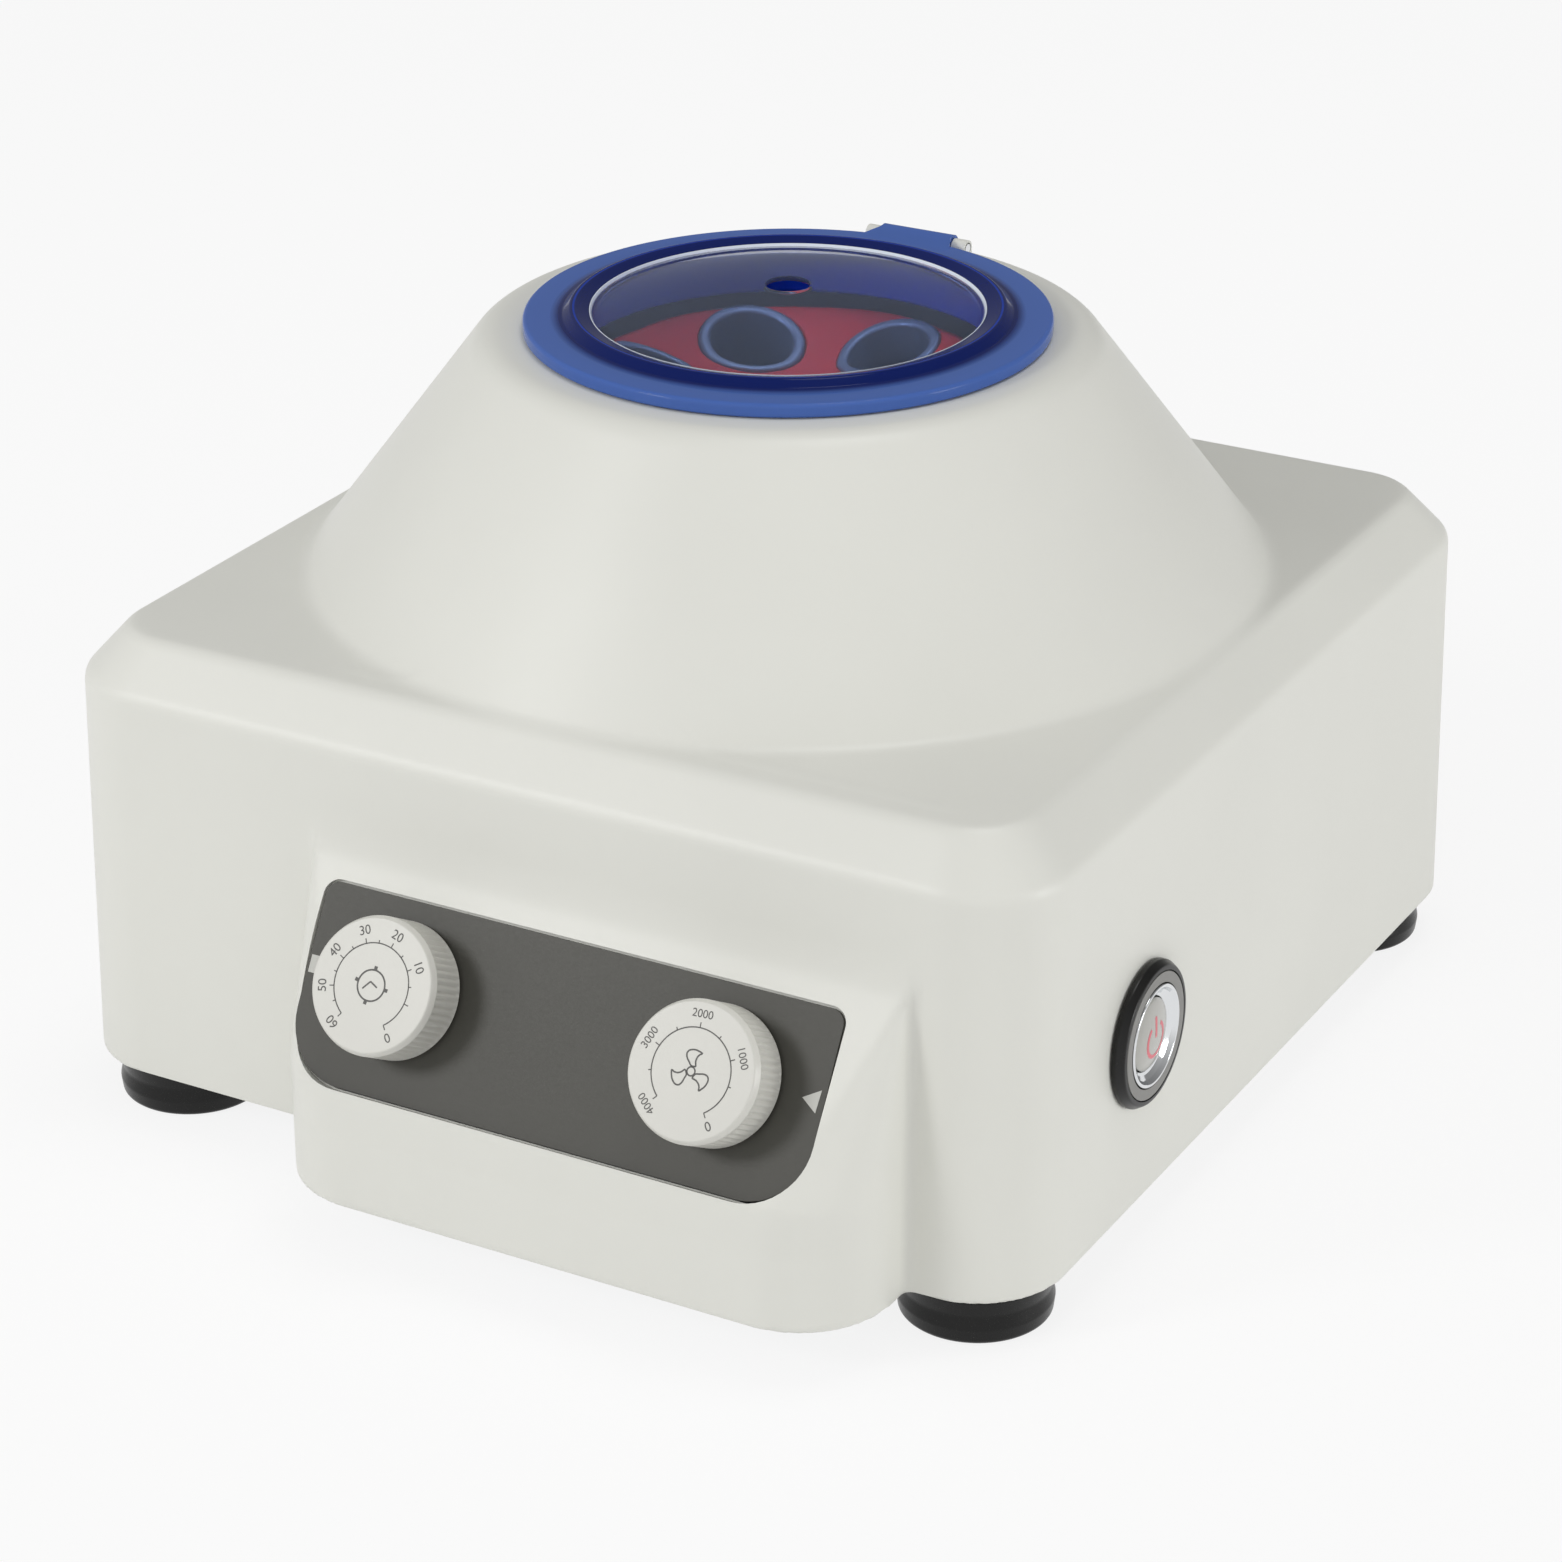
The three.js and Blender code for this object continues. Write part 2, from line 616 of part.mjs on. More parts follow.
function makeHousing() {
  const outer = join(
    solid(bodyShape(0, BODY_BOTTOM_Z, BODY_TOP_Z)),
    solid(bumpShape(0, BODY_BOTTOM_Z)),
  );
  const coneHole = CONE_BASE_RADIUS - WALL / Math.sin(CONE_SLOPE);
  const hollow = join(
    solid(bodyShape(WALL, BODY_BOTTOM_Z - OVERRUN, ROOF_Z)),
    solid(bar(coneHole, ROOF_Z - OVERRUN, BODY_TOP_Z + OVERRUN, LARGE_SIDES)),
    solid(bumpShape(WALL, BODY_BOTTOM_Z - OVERRUN)),
  );
  const posts = corners(FOOT_X, FOOT_Y).map(({ x, y }) =>
    solid(bar(CORNER_POST_RADIUS, PLATE_TOP_Z + GAP, ROOF_Z + WALL / 2).translate(x, y, 0)),
  );
  const bosses = corners(EAR_PLACE, EAR_PLACE).map(({ x, y }) =>
    solid(bar(EAR_BOSS_RADIUS, ROOF_Z - EAR_BOSS_HEIGHT, ROOF_Z + WALL / 2).translate(x, y, 0)),
  );
  const shell = join(cut(outer, hollow), ...posts, ...bosses);
  return cut(shell, ...housingCuts());
}

// Chamber cone, which stands on the deck round its hole and carries the lid's seat and hinge
function makeChamberCone() {
  const outer = join(
    solid(revolved(coneSection(0, BODY_TOP_Z + GAP), LARGE_SIDES)),
    hingeLug(lugPlace()),
    hingeLug(-lugPlace()),
  );
  const hollow = solid(revolved(coneSection(WALL, BODY_TOP_Z - OVERRUN), LARGE_SIDES));
  const neckBottom = CONE_TOP_Z - NECK_DEPTH - WALL;
  const neck = solid(bar(MOUTH_RADIUS + NECK_WALL, neckBottom, CONE_TOP_Z - WALL / 2, LARGE_SIDES));
  const mouth = solid(bar(MOUTH_RADIUS, neckBottom - OVERRUN, CONE_TOP_Z + OVERRUN, LARGE_SIDES));
  const knucklePocket = solid(
    block(
      [-KNUCKLE_WIDTH / 2 - LUG_GAP, HINGE_Y - KNUCKLE_RADIUS - GAP, HINGE_Z - KNUCKLE_RADIUS - GAP],
      [KNUCKLE_WIDTH / 2 + LUG_GAP, HINGE_Y + KNUCKLE_RADIUS + LUG_RADIUS, HINGE_Z + LUG_RADIUS],
    ),
  );
  const pinHole = solid(hingeBar(HINGE_PIN_RADIUS + GAP, lugPlace() + LUG_WIDTH / 2 + OVERRUN));
  return cut(join(cut(outer, hollow), neck), mouth, knucklePocket, pinHole);
}

function housingCuts() {
  const footBores = corners(FOOT_X, FOOT_Y).map(({ x, y }) =>
    solid(bar(M4_RADIUS + GAP, BODY_BOTTOM_Z, PLATE_TOP_Z + FOOT_SCREW_REACH + OVERRUN).translate(x, y, 0)),
  );
  const earBores = corners(EAR_PLACE, EAR_PLACE).map(({ x, y }) =>
    solid(bar(M3_RADIUS + GAP, ROOF_Z - EAR_BOSS_HEIGHT - OVERRUN, ROOF_Z + WALL / 2).translate(x, y, 0)),
  );
  const recess = plate(faceOutline(GAP), -FACE_RECESS, BUMP_DEPTH).applyMatrix4(faceMatrix());
  const bushingHoles = [TIMER_X, SPEED_X].map((x) => {
    const hole = bar(BUSHING_RADIUS + GAP, -2 * WALL, WALL, MIDDLE_SIDES);
    return solid(hole.translate(x, -KNOB_DOWN, 0).applyMatrix4(faceMatrix()));
  });
  const switchHole = alongX(bar(BARREL_HOLE, -WALL - OVERRUN, OVERRUN, MIDDLE_SIDES));
  const inletHole = atInlet(
    block(
      [-INLET_WIDTH / 2 - GAP, -INLET_HEIGHT / 2 - GAP, -WALL - OVERRUN],
      [INLET_WIDTH / 2 + GAP, INLET_HEIGHT / 2 + GAP, OVERRUN],
    ),
  );
  const inletScrewHoles = [-1, 1].map((side) => {
    const hole = bar(M3_RADIUS + GAP, -WALL - OVERRUN, OVERRUN);
    return solid(atInlet(hole.translate((side * INLET_SCREW_PITCH) / 2, 0, 0)));
  });
  return [
    ...footBores,
    ...earBores,
    solid(recess),
    ...bushingHoles,
    solid(switchHole),
    solid(inletHole),
    ...inletScrewHoles,
  ];
}

// Carries a piece made along +Z to the power button, out of the right wall.
function alongX(geometry) {
  return geometry.rotateY(Math.PI / 2).translate(SWITCH_WALL_X, SWITCH_Y, SWITCH_Z);
}

// Carries a piece made along +Z to the mains inlet, out of the rear wall, with its Y pointing up.
function atInlet(geometry) {
  return geometry.rotateZ(Math.PI).rotateX(-Math.PI / 2).translate(INLET_X, INLET_WALL_Y, INLET_Z);
}

// Lid: flange, skirt, shallow dome with a vent hole, and the hinge ear
function domeArc(radius, rise, from, drop) {
  const sphere = (radius * radius + rise * rise) / (2 * rise);
  const steps = 3;
  return Array.from({ length: steps + 1 }, (_, i) => {
    const r = from + ((radius - from) * (steps - i)) / steps;
    return [r, Math.sqrt(sphere * sphere - r * r) - (sphere - rise) - drop];
  });
}

function makeLid() {
  const inner = SKIRT_RADIUS - SKIRT_WALL;
  const outside = domeArc(inner, DOME_RISE, VENT_RADIUS, 0);
  const inside = domeArc(inner - DOME_WALL, DOME_RISE, VENT_BOSS_RADIUS, DOME_WALL).reverse();
  const bossZ = DOME_RISE - VENT_BOSS_DEPTH - DOME_WALL / 2;
  const profile = [
    [inner, -LID_THICKNESS - SKIRT_DEPTH],
    [SKIRT_RADIUS, -LID_THICKNESS - SKIRT_DEPTH],
    [SKIRT_RADIUS, -LID_THICKNESS],
    [LID_RADIUS - LID_EDGE / 2, -LID_THICKNESS],
    [LID_RADIUS, -LID_THICKNESS + LID_EDGE / 2],
    [LID_RADIUS, -LID_EDGE],
    [LID_RADIUS - LID_EDGE, 0],
    [SKIRT_RADIUS - LID_EDGE, 0],
    ...outside,
    [VENT_RADIUS, bossZ],
    [VENT_BOSS_RADIUS, bossZ],
    ...inside,
    [inner, -DOME_WALL - LID_EDGE],
  ];
  const disc = solid(revolvedRing(profile, LARGE_SIDES).translate(0, 0, LID_TOP_Z));
  const halfWidth = KNUCKLE_WIDTH / 2;
  const tongue = block(
    [-halfWidth, LID_RADIUS - LUG_RADIUS, LID_TOP_Z - LID_THICKNESS],
    [halfWidth, HINGE_Y, LID_TOP_Z],
  );
  const knuckle = bar(KNUCKLE_RADIUS, -halfWidth, halfWidth, MIDDLE_SIDES);
  const barrel = knuckle.rotateY(Math.PI / 2).translate(0, HINGE_Y, HINGE_Z);
  const lid = join(disc, solid(tongue), solid(barrel));
  return cut(lid, solid(hingeBar(HINGE_PIN_RADIUS + GAP, halfWidth + OVERRUN)));
}

function makeHingePin() {
  return solid(hingeBar(HINGE_PIN_RADIUS, lugPlace() + LUG_WIDTH / 2));
}

// Rotor: a conical plate with six leaning bores, on a hub
function rotorTopZ(radius) {
  return ROTOR_RIM_Z + (radius - ROTOR_RIM_RADIUS) * ROTOR_TOP_SLOPE;
}

// Point of the rotor's section: outwards from the rim along the sloping top, then down across the plate.
function rotorPoint(out, down) {
  const across = Math.cos(TUBE_LEAN);
  const along = Math.sin(TUBE_LEAN);
  return [ROTOR_RIM_RADIUS + out * across + down * along, ROTOR_RIM_Z + out * along - down * across];
}

function makeRotor() {
  const bore = SHAFT_RADIUS + GAP;
  const edge = ROTOR_RIM_CHAMFER;
  const plateDrop = ROTOR_PLATE / Math.cos(TUBE_LEAN);
  const body = solid(
    revolvedRing(
      [
        rotorPoint(0, ROTOR_PLATE),
        rotorPoint(edge, ROTOR_PLATE - edge),
        rotorPoint(edge, edge),
        rotorPoint(0, 0),
        [ROTOR_DISH_RADIUS, rotorTopZ(ROTOR_DISH_RADIUS)],
        [bore, rotorTopZ(ROTOR_DISH_RADIUS)],
        [bore, ROTOR_BOTTOM_Z],
        [ROTOR_HUB_RADIUS, ROTOR_BOTTOM_Z],
        [ROTOR_HUB_RADIUS, rotorTopZ(ROTOR_HUB_RADIUS) - plateDrop],
      ],
      ROUND_SIDES,
    ),
  );
  const below = SLEEVE_LENGTH + OVERRUN;
  const seat = -SLEEVE_RIM_THICKNESS - GAP;
  const bores = around(TUBE_COUNT, 0, TUBE_FIRST_ANGLE).map(({ angle }) =>
    join(
      solid(bar(TUBE_BORE, -below, 0, TUBE_SIDES)),
      solid(bar(SLEEVE_RIM_RADIUS + GAP, seat, SLEEVE_RIM_RADIUS, TUBE_SIDES)),
    ).transform(tubeMatrix(angle).elements),
  );
  return cut(body, ...bores);
}

function makeSleeve() {
  const end = -SLEEVE_LENGTH;
  const nose = SLEEVE_RADIUS - SLEEVE_NOSE;
  const floor = end + SLEEVE_WALL;
  return solid(
    revolved(
      [
        [0, end],
        [nose, end],
        [SLEEVE_RADIUS, end + SLEEVE_NOSE],
        [SLEEVE_RADIUS, -SLEEVE_RIM_THICKNESS],
        [SLEEVE_RIM_RADIUS, -SLEEVE_RIM_THICKNESS],
        [SLEEVE_RIM_RADIUS, 0],
        [SLEEVE_BORE, 0],
        [SLEEVE_BORE, floor + SLEEVE_NOSE],
        [nose - SLEEVE_WALL / 2, floor],
        [0, floor],
      ],
      TUBE_SIDES,
    ),
  );
}

function makeRotorNut() {
  const bottom = rotorTopZ(ROTOR_DISH_RADIUS) + GAP;
  const bore = SHAFT_RADIUS + GAP;
  const ceiling = SHAFT_TOP_Z + GAP;
  const grip = solid(bar(NUT_RADIUS, bottom, bottom + NUT_HEIGHT - NUT_DOME, HEX_SIDES));
  const dome = solid(
    revolved(
      [
        [0, bottom],
        [NUT_RADIUS - NUT_DOME / 2, bottom],
        [NUT_RADIUS - NUT_DOME / 2, bottom + NUT_HEIGHT - NUT_DOME],
        [NUT_RADIUS / 2, bottom + NUT_HEIGHT],
        [0, bottom + NUT_HEIGHT],
      ],
      MIDDLE_SIDES,
    ),
  );
  return cut(join(grip, dome), solid(bar(bore, bottom - OVERRUN, ceiling)));
}

// Chamber bowl with four ears
function makeBowl() {
  const rimZ = ROOF_Z - EAR_BOSS_HEIGHT - GAP;
  const inner = BOWL_RADIUS - BOWL_WALL;
  const flangeZ = rimZ - BOWL_WALL;
  const pot = solid(
    revolvedRing(
      [
        [BOWL_HOLE_RADIUS, BOWL_FLOOR_Z],
        [BOWL_RADIUS - BOWL_CORNER, BOWL_FLOOR_Z],
        [BOWL_RADIUS, BOWL_FLOOR_Z + BOWL_CORNER],
        [BOWL_RADIUS, flangeZ],
        [BOWL_RADIUS + BOWL_FLANGE, flangeZ],
        [BOWL_RADIUS + BOWL_FLANGE, rimZ],
        [inner, rimZ],
        [inner, BOWL_FLOOR_Z + BOWL_CORNER + BOWL_WALL / 2],
        [inner - BOWL_CORNER + BOWL_WALL / 2, BOWL_FLOOR_Z + BOWL_WALL],
        [BOWL_HOLE_RADIUS, BOWL_FLOOR_Z + BOWL_WALL],
      ],
      ROUND_SIDES,
    ),
  );
  const reach = EAR_PLACE * Math.SQRT2;
  const start = BOWL_RADIUS + BOWL_FLANGE / 2;
  const quarter = Math.PI / 2;
  const outline = [
    [start, -2 * EAR_RADIUS],
    ...arc(reach, 0, EAR_RADIUS, -quarter, quarter, CORNER_STEPS),
    [start, 2 * EAR_RADIUS],
  ];
  const ears = [0, 1, 2, 3].map((i) =>
    solid(plate(outline, flangeZ, rimZ).rotateZ(quarter / 2 + i * quarter)),
  );
  const holes = corners(EAR_PLACE, EAR_PLACE).map(({ x, y }) =>
    solid(bar(M3_RADIUS + GAP, flangeZ - OVERRUN, rimZ + OVERRUN).translate(x, y, 0)),
  );
  return cut(join(pot, ...ears), ...holes);
}

// Base plate closes the housing and the hollow of the bump
function makeBasePlate() {
  const gap = WALL + PLATE_CLEARANCE;
  const body = plate(
    roundedRectangle(BODY_WIDTH / 2 - gap, BODY_DEPTH / 2 - gap, BODY_CORNER - gap),
    PLATE_BOTTOM_Z,
    PLATE_TOP_Z,
  );
  const tongue = plate(
    bumpSection(0, BUMP_DEPTH - gap, gap).outline.map(([x, y]) => [x, Math.min(y, FRONT_Y + 2 * gap)]),
    PLATE_BOTTOM_Z,
    PLATE_TOP_Z,
  );
  const holes = corners(FOOT_X, FOOT_Y).map(({ x, y }) => holeAt(x, y, M4_RADIUS + GAP));
  const spigots = around(MOUNT_COUNT, POST_PLACE).map(({ x, y }) => holeAt(x, y, POST_SPIGOT_RADIUS + GAP));
  const slots = Array.from({ length: SLOT_COUNT }, (_, i) => {
    const x = (i - (SLOT_COUNT - 1) / 2) * SLOT_PITCH;
    const slot = roundedRectangle(SLOT_WIDTH / 2, SLOT_LENGTH / 2, SLOT_WIDTH / 2 - GAP, 2);
    return solid(plate(slot, PLATE_BOTTOM_Z - OVERRUN, PLATE_TOP_Z + OVERRUN).translate(x, 0, 0));
  });
  return cut(join(solid(body), solid(tongue)), ...holes, ...spigots, ...slots);
}

function holeAt(x, y, radius) {
  return solid(bar(radius, PLATE_BOTTOM_Z - OVERRUN, PLATE_TOP_Z + OVERRUN).translate(x, y, 0));
}

function makeFoot() {
  const top = PLATE_BOTTOM_Z - GAP;
  const bore = M4_RADIUS + GAP;
  return solid(
    revolvedRing(
      [
        [FOOT_SINK_RADIUS, 0],
        [FOOT_RADIUS - FOOT_EDGE, 0],
        [FOOT_RADIUS - FOOT_EDGE / 3, FOOT_EDGE / 3],
        [FOOT_RADIUS, FOOT_EDGE],
        [FOOT_RADIUS, top - FOOT_EDGE / 2],
        [FOOT_RADIUS - FOOT_EDGE / 2, top],
        [bore, top],
        [bore, FOOT_SINK_DEPTH],
        [FOOT_SINK_RADIUS, FOOT_SINK_DEPTH],
      ],
      FOOT_SIDES,
    ),
  );
}

// Motor, its plate and its sprung posts
function makeShaft() {
  const collarTop = ROTOR_BOTTOM_Z - GAP;
  const collarBottom = collarTop - SHAFT_COLLAR_HEIGHT;
  return solid(
    revolved(
      [
        [0, SHAFT_BOTTOM_Z],
        [SHAFT_RADIUS, SHAFT_BOTTOM_Z],
        [SHAFT_RADIUS, collarBottom],
        [SHAFT_COLLAR_RADIUS, collarBottom],
        [SHAFT_COLLAR_RADIUS, collarTop],
        [SHAFT_RADIUS, collarTop],
        [SHAFT_RADIUS, SHAFT_TOP_Z],
        [0, SHAFT_TOP_Z],
      ],
      SMALL_SIDES,
    ),
  );
}

function makeMotorBody() {
  const top = MOUNT_Z - GAP;
  const bossTop = MOUNT_Z + MOUNT_THICKNESS + MOTOR_BOSS_RISE;
  const can = solid(
    revolved(
      [
        [0, MOTOR_BOTTOM_Z],
        [MOTOR_RADIUS - MOTOR_EDGE, MOTOR_BOTTOM_Z],
        [MOTOR_RADIUS, MOTOR_BOTTOM_Z + MOTOR_EDGE],
        [MOTOR_RADIUS, top],
        [MOTOR_BOSS_RADIUS, top],
        [MOTOR_BOSS_RADIUS, bossTop],
        [0, bossTop],
      ],
      MIDDLE_SIDES,
    ),
  );
  const shaftBore = solid(bar(SHAFT_RADIUS + GAP, SHAFT_BOTTOM_Z - GAP, bossTop + OVERRUN));
  const screwBores = around(MOUNT_COUNT, MOTOR_SCREW_PLACE, Math.PI / MOUNT_COUNT).map(({ x, y }) =>
    solid(bar(M3_RADIUS + GAP, top - MOTOR_SCREW_REACH, top + GAP / 2).translate(x, y, 0)),
  );
  return cut(can, shaftBore, ...screwBores);
}

function makeMotorPlate() {
  const top = MOUNT_Z + MOUNT_THICKNESS;
  const through = (radius, x = 0, y = 0) =>
    solid(bar(radius, MOUNT_Z - OVERRUN, top + OVERRUN).translate(x, y, 0));
  const postHoles = around(MOUNT_COUNT, POST_PLACE).map(({ x, y }) => through(M4_RADIUS + GAP, x, y));
  const motorHoles = around(MOUNT_COUNT, MOTOR_SCREW_PLACE, Math.PI / MOUNT_COUNT).map(({ x, y }) =>
    through(M3_RADIUS + GAP, x, y),
  );
  const disc = solid(bar(MOUNT_RADIUS, MOUNT_Z, top, MIDDLE_SIDES));
  const bossHole = solid(bar(MOTOR_BOSS_RADIUS + GAP, MOUNT_Z - OVERRUN, top + OVERRUN, MIDDLE_SIDES));
  return cut(disc, bossHole, ...postHoles, ...motorHoles);
}

function makeMotorPost() {
  const top = MOUNT_Z - DAMPER_HEIGHT - GAP;
  const bore = M4_RADIUS + GAP;
  return solid(
    revolved(
      [
        [0, PLATE_BOTTOM_Z],
        [POST_SPIGOT_RADIUS, PLATE_BOTTOM_Z],
        [POST_SPIGOT_RADIUS, PLATE_TOP_Z + GAP],
        [POST_RADIUS, PLATE_TOP_Z + GAP],
        [POST_RADIUS, top],
        [bore, top],
        [bore, top - POST_BORE_DEPTH],
        [0, top - POST_BORE_DEPTH],
      ],
      SMALL_SIDES,
    ),
  );
}

function makeDamper() {
  const bottom = MOUNT_Z - DAMPER_HEIGHT;
  const top = MOUNT_Z - GAP;
  const bore = M4_RADIUS + GAP;
  const lip = (top - bottom) / 4;
  return solid(
    revolvedRing(
      [
        [bore, bottom],
        [DAMPER_RADIUS, bottom],
        [DAMPER_RADIUS, bottom + lip],
        [DAMPER_WAIST, (bottom + top) / 2],
        [DAMPER_RADIUS, top - lip],
        [DAMPER_RADIUS, top],
        [bore, top],
      ],
      SMALL_SIDES,
    ),
  );
}

// Faceplate and the two knobs, made in the frame of the leaning face
function makeFaceplate() {
  const bottom = GAP - FACE_RECESS;
  const sheet = solid(plate(faceOutline(-GAP), bottom, bottom + FACE_THICKNESS));
  const holes = [TIMER_X, SPEED_X].map((x) =>
    solid(bar(BUSHING_RADIUS + GAP, -WALL, WALL, MIDDLE_SIDES).translate(x, -KNOB_DOWN, 0)),
  );
  return cut(sheet, ...holes);
}

function makeKnob() {
  const top = KNOB_BASE + KNOB_HEIGHT;
  const bandBottom = top - KNOB_BAND;
  const outline = Array.from({ length: 2 * KNOB_FLUTES }, (_, i) => {
    const radius = KNOB_RADIUS - (i % 2) * KNOB_FLUTE_DEPTH;
    const angle = (Math.PI * i) / KNOB_FLUTES;
    return [radius * Math.cos(angle), radius * Math.sin(angle)];
  });
  const grip = solid(plate(outline, KNOB_BASE, bandBottom));
  const cap = solid(
    revolved(
      [
        [0, KNOB_BASE + KNOB_SEAT],
        [KNOB_RADIUS - KNOB_LIP, KNOB_BASE + KNOB_SEAT],
        [KNOB_RADIUS - KNOB_FLUTE_DEPTH, bandBottom - KNOB_LIP],
        [KNOB_RADIUS - KNOB_FLUTE_DEPTH / 2, top - KNOB_LIP],
        [KNOB_RADIUS - KNOB_LIP, top],
        [KNOB_RADIUS - 2 * KNOB_LIP, top - KNOB_LIP_RISE],
        [0, top - KNOB_LIP_RISE],
      ],
      KNOB_FLUTES,
    ),
  );
  const seatTop = KNOB_BASE + KNOB_SEAT;
  const seat = solid(bar(KNOB_RADIUS - KNOB_SKIRT, KNOB_BASE - OVERRUN, seatTop, MIDDLE_SIDES));
  const stem = solid(bar(KNOB_STEM_RADIUS + GAP, KNOB_BASE, seatTop + KNOB_LIP + GAP));
  return cut(join(grip, cap), seat, stem);
}

function makeStem() {
  return solid(bar(KNOB_STEM_RADIUS, -WALL - STEM_SINK, KNOB_BASE + KNOB_SEAT + KNOB_LIP));
}

function makeControlNut() {
  const bottom = FACE_THICKNESS + 2 * GAP - FACE_RECESS;
  const body = solid(bar(CONTROL_NUT_RADIUS, bottom, bottom + CONTROL_NUT_HEIGHT, HEX_SIDES));
  return cut(body, solid(bar(BUSHING_RADIUS + GAP, 0, KNOB_BASE + KNOB_SEAT, MIDDLE_SIDES)));
}

// The fixed body behind the wall and its bushing, which the knob's stem turns in.
function makeControlBody(body) {
  const bushingTop = FACE_THICKNESS - FACE_RECESS + BUSHING_RISE;
  const bushing = solid(bar(BUSHING_RADIUS, -WALL - OVERRUN, bushingTop, MIDDLE_SIDES));
  const bore = solid(bar(KNOB_STEM_RADIUS + GAP, -WALL - STEM_SINK - GAP, bushingTop + OVERRUN));
  return cut(join(body, bushing), bore);
}

function makeTimerBody() {
  const half = TIMER_SIDE / 2;
  const front = -WALL - GAP;
  return makeControlBody(solid(block([-half, -half, front - TIMER_LENGTH], [half, half, front])));
}

function makePotBody() {
  const front = -WALL - GAP;
  return makeControlBody(solid(bar(POT_RADIUS, front - POT_LENGTH, front, MIDDLE_SIDES)));
}

function controlSet(x, knob, parts) {
  const set = new THREE.Group();
  set.position.set(x, -KNOB_DOWN, 0);
  set.add(
    mesh(`${knob}_knob`, makeKnob(), whiteKnob),
    mesh(`${knob}_shaft`, makeStem(), satinSteel),
    mesh(`${knob}_nut`, makeControlNut(), brightSteel),
    mesh(parts.name, parts.body, parts.material),
  );
  return placeOnFace(set);
}

// Power button pieces, made along +Z with the outer face of the wall at z = 0
function makeBezel() {
  const seat = BEZEL_HEIGHT - TRIM_THICKNESS;
  const inner = BARREL_RADIUS - BARREL_WALL;
  return solid(
    revolvedRing(
      [
        [inner, -BARREL_LENGTH],
        [BARREL_RADIUS, -BARREL_LENGTH],
        [BARREL_RADIUS, GAP],
        [BEZEL_RADIUS, GAP],
        [BEZEL_RADIUS, BEZEL_HEIGHT - 2 * BEZEL_LIP],
        [BEZEL_FACE_RADIUS + BEZEL_LIP / 2, BEZEL_HEIGHT - BEZEL_LIP / 2],
        [BEZEL_FACE_RADIUS, BEZEL_HEIGHT],
        [TRIM_RADIUS + GAP, BEZEL_HEIGHT],
        [TRIM_RADIUS + GAP, seat - GAP],
        [inner, seat - GAP],
      ],
      MIDDLE_SIDES,
    ),
  );
}

function makeTrim() {
  const seat = BEZEL_HEIGHT - TRIM_THICKNESS;
  return solid(
    revolvedRing(
      [
        [RING_RADIUS + GAP, seat],
        [TRIM_RADIUS, seat],
        [TRIM_RADIUS, BEZEL_HEIGHT],
        [RING_RADIUS + GAP, BEZEL_HEIGHT],
      ],
      MIDDLE_SIDES,
    ),
  );
}

function makeSwitchRing() {
  const outer = Math.min(RING_RADIUS, BARREL_RADIUS - BARREL_WALL - GAP);
  const inner = BUTTON_RADIUS + GAP;
  return solid(
    revolvedRing(
      [
        [inner, BEZEL_HEIGHT - 2 * RING_DEPTH],
        [outer, BEZEL_HEIGHT - 2 * RING_DEPTH],
        [outer, BEZEL_HEIGHT + GAP],
        [outer - BEZEL_LIP, BEZEL_HEIGHT + GAP],
        [inner, BEZEL_HEIGHT - RING_DEPTH / 2],
      ],
      MIDDLE_SIDES,
    ),
  );
}

function makeButton() {
  const top = BEZEL_HEIGHT - GAP;
  return solid(
    revolved(
      [
        [0, top - BUTTON_HEIGHT],
        [BUTTON_RADIUS, top - BUTTON_HEIGHT],
        [BUTTON_RADIUS, top - BUTTON_CROWN],
        [BUTTON_RADIUS * Math.cos(Math.PI / 6), top - BUTTON_CROWN / 3],
        [BUTTON_RADIUS / 2, top - BUTTON_CROWN / 12],
        [0, top],
      ],
      MIDDLE_SIDES,
    ),
  );
}

function makeSwitchBody() {
  const radius = BARREL_RADIUS - BARREL_WALL - GAP;
  const top = BEZEL_HEIGHT - BUTTON_HEIGHT - BUTTON_TRAVEL - 2 * GAP;
  const bottom = -BARREL_LENGTH - BUTTON_TRAVEL;
  return solid(bar(radius, bottom, top, MIDDLE_SIDES));
}

function makeSwitchNut() {
  const top = -WALL - GAP;
  return solid(
    revolvedRing(
      [
        [BARREL_HOLE, top - SWITCH_NUT_THICKNESS],
        [SWITCH_NUT_RADIUS, top - SWITCH_NUT_THICKNESS],
        [SWITCH_NUT_RADIUS, top],
        [BARREL_HOLE, top],
      ],
      MIDDLE_SIDES,
    ),
  );
}

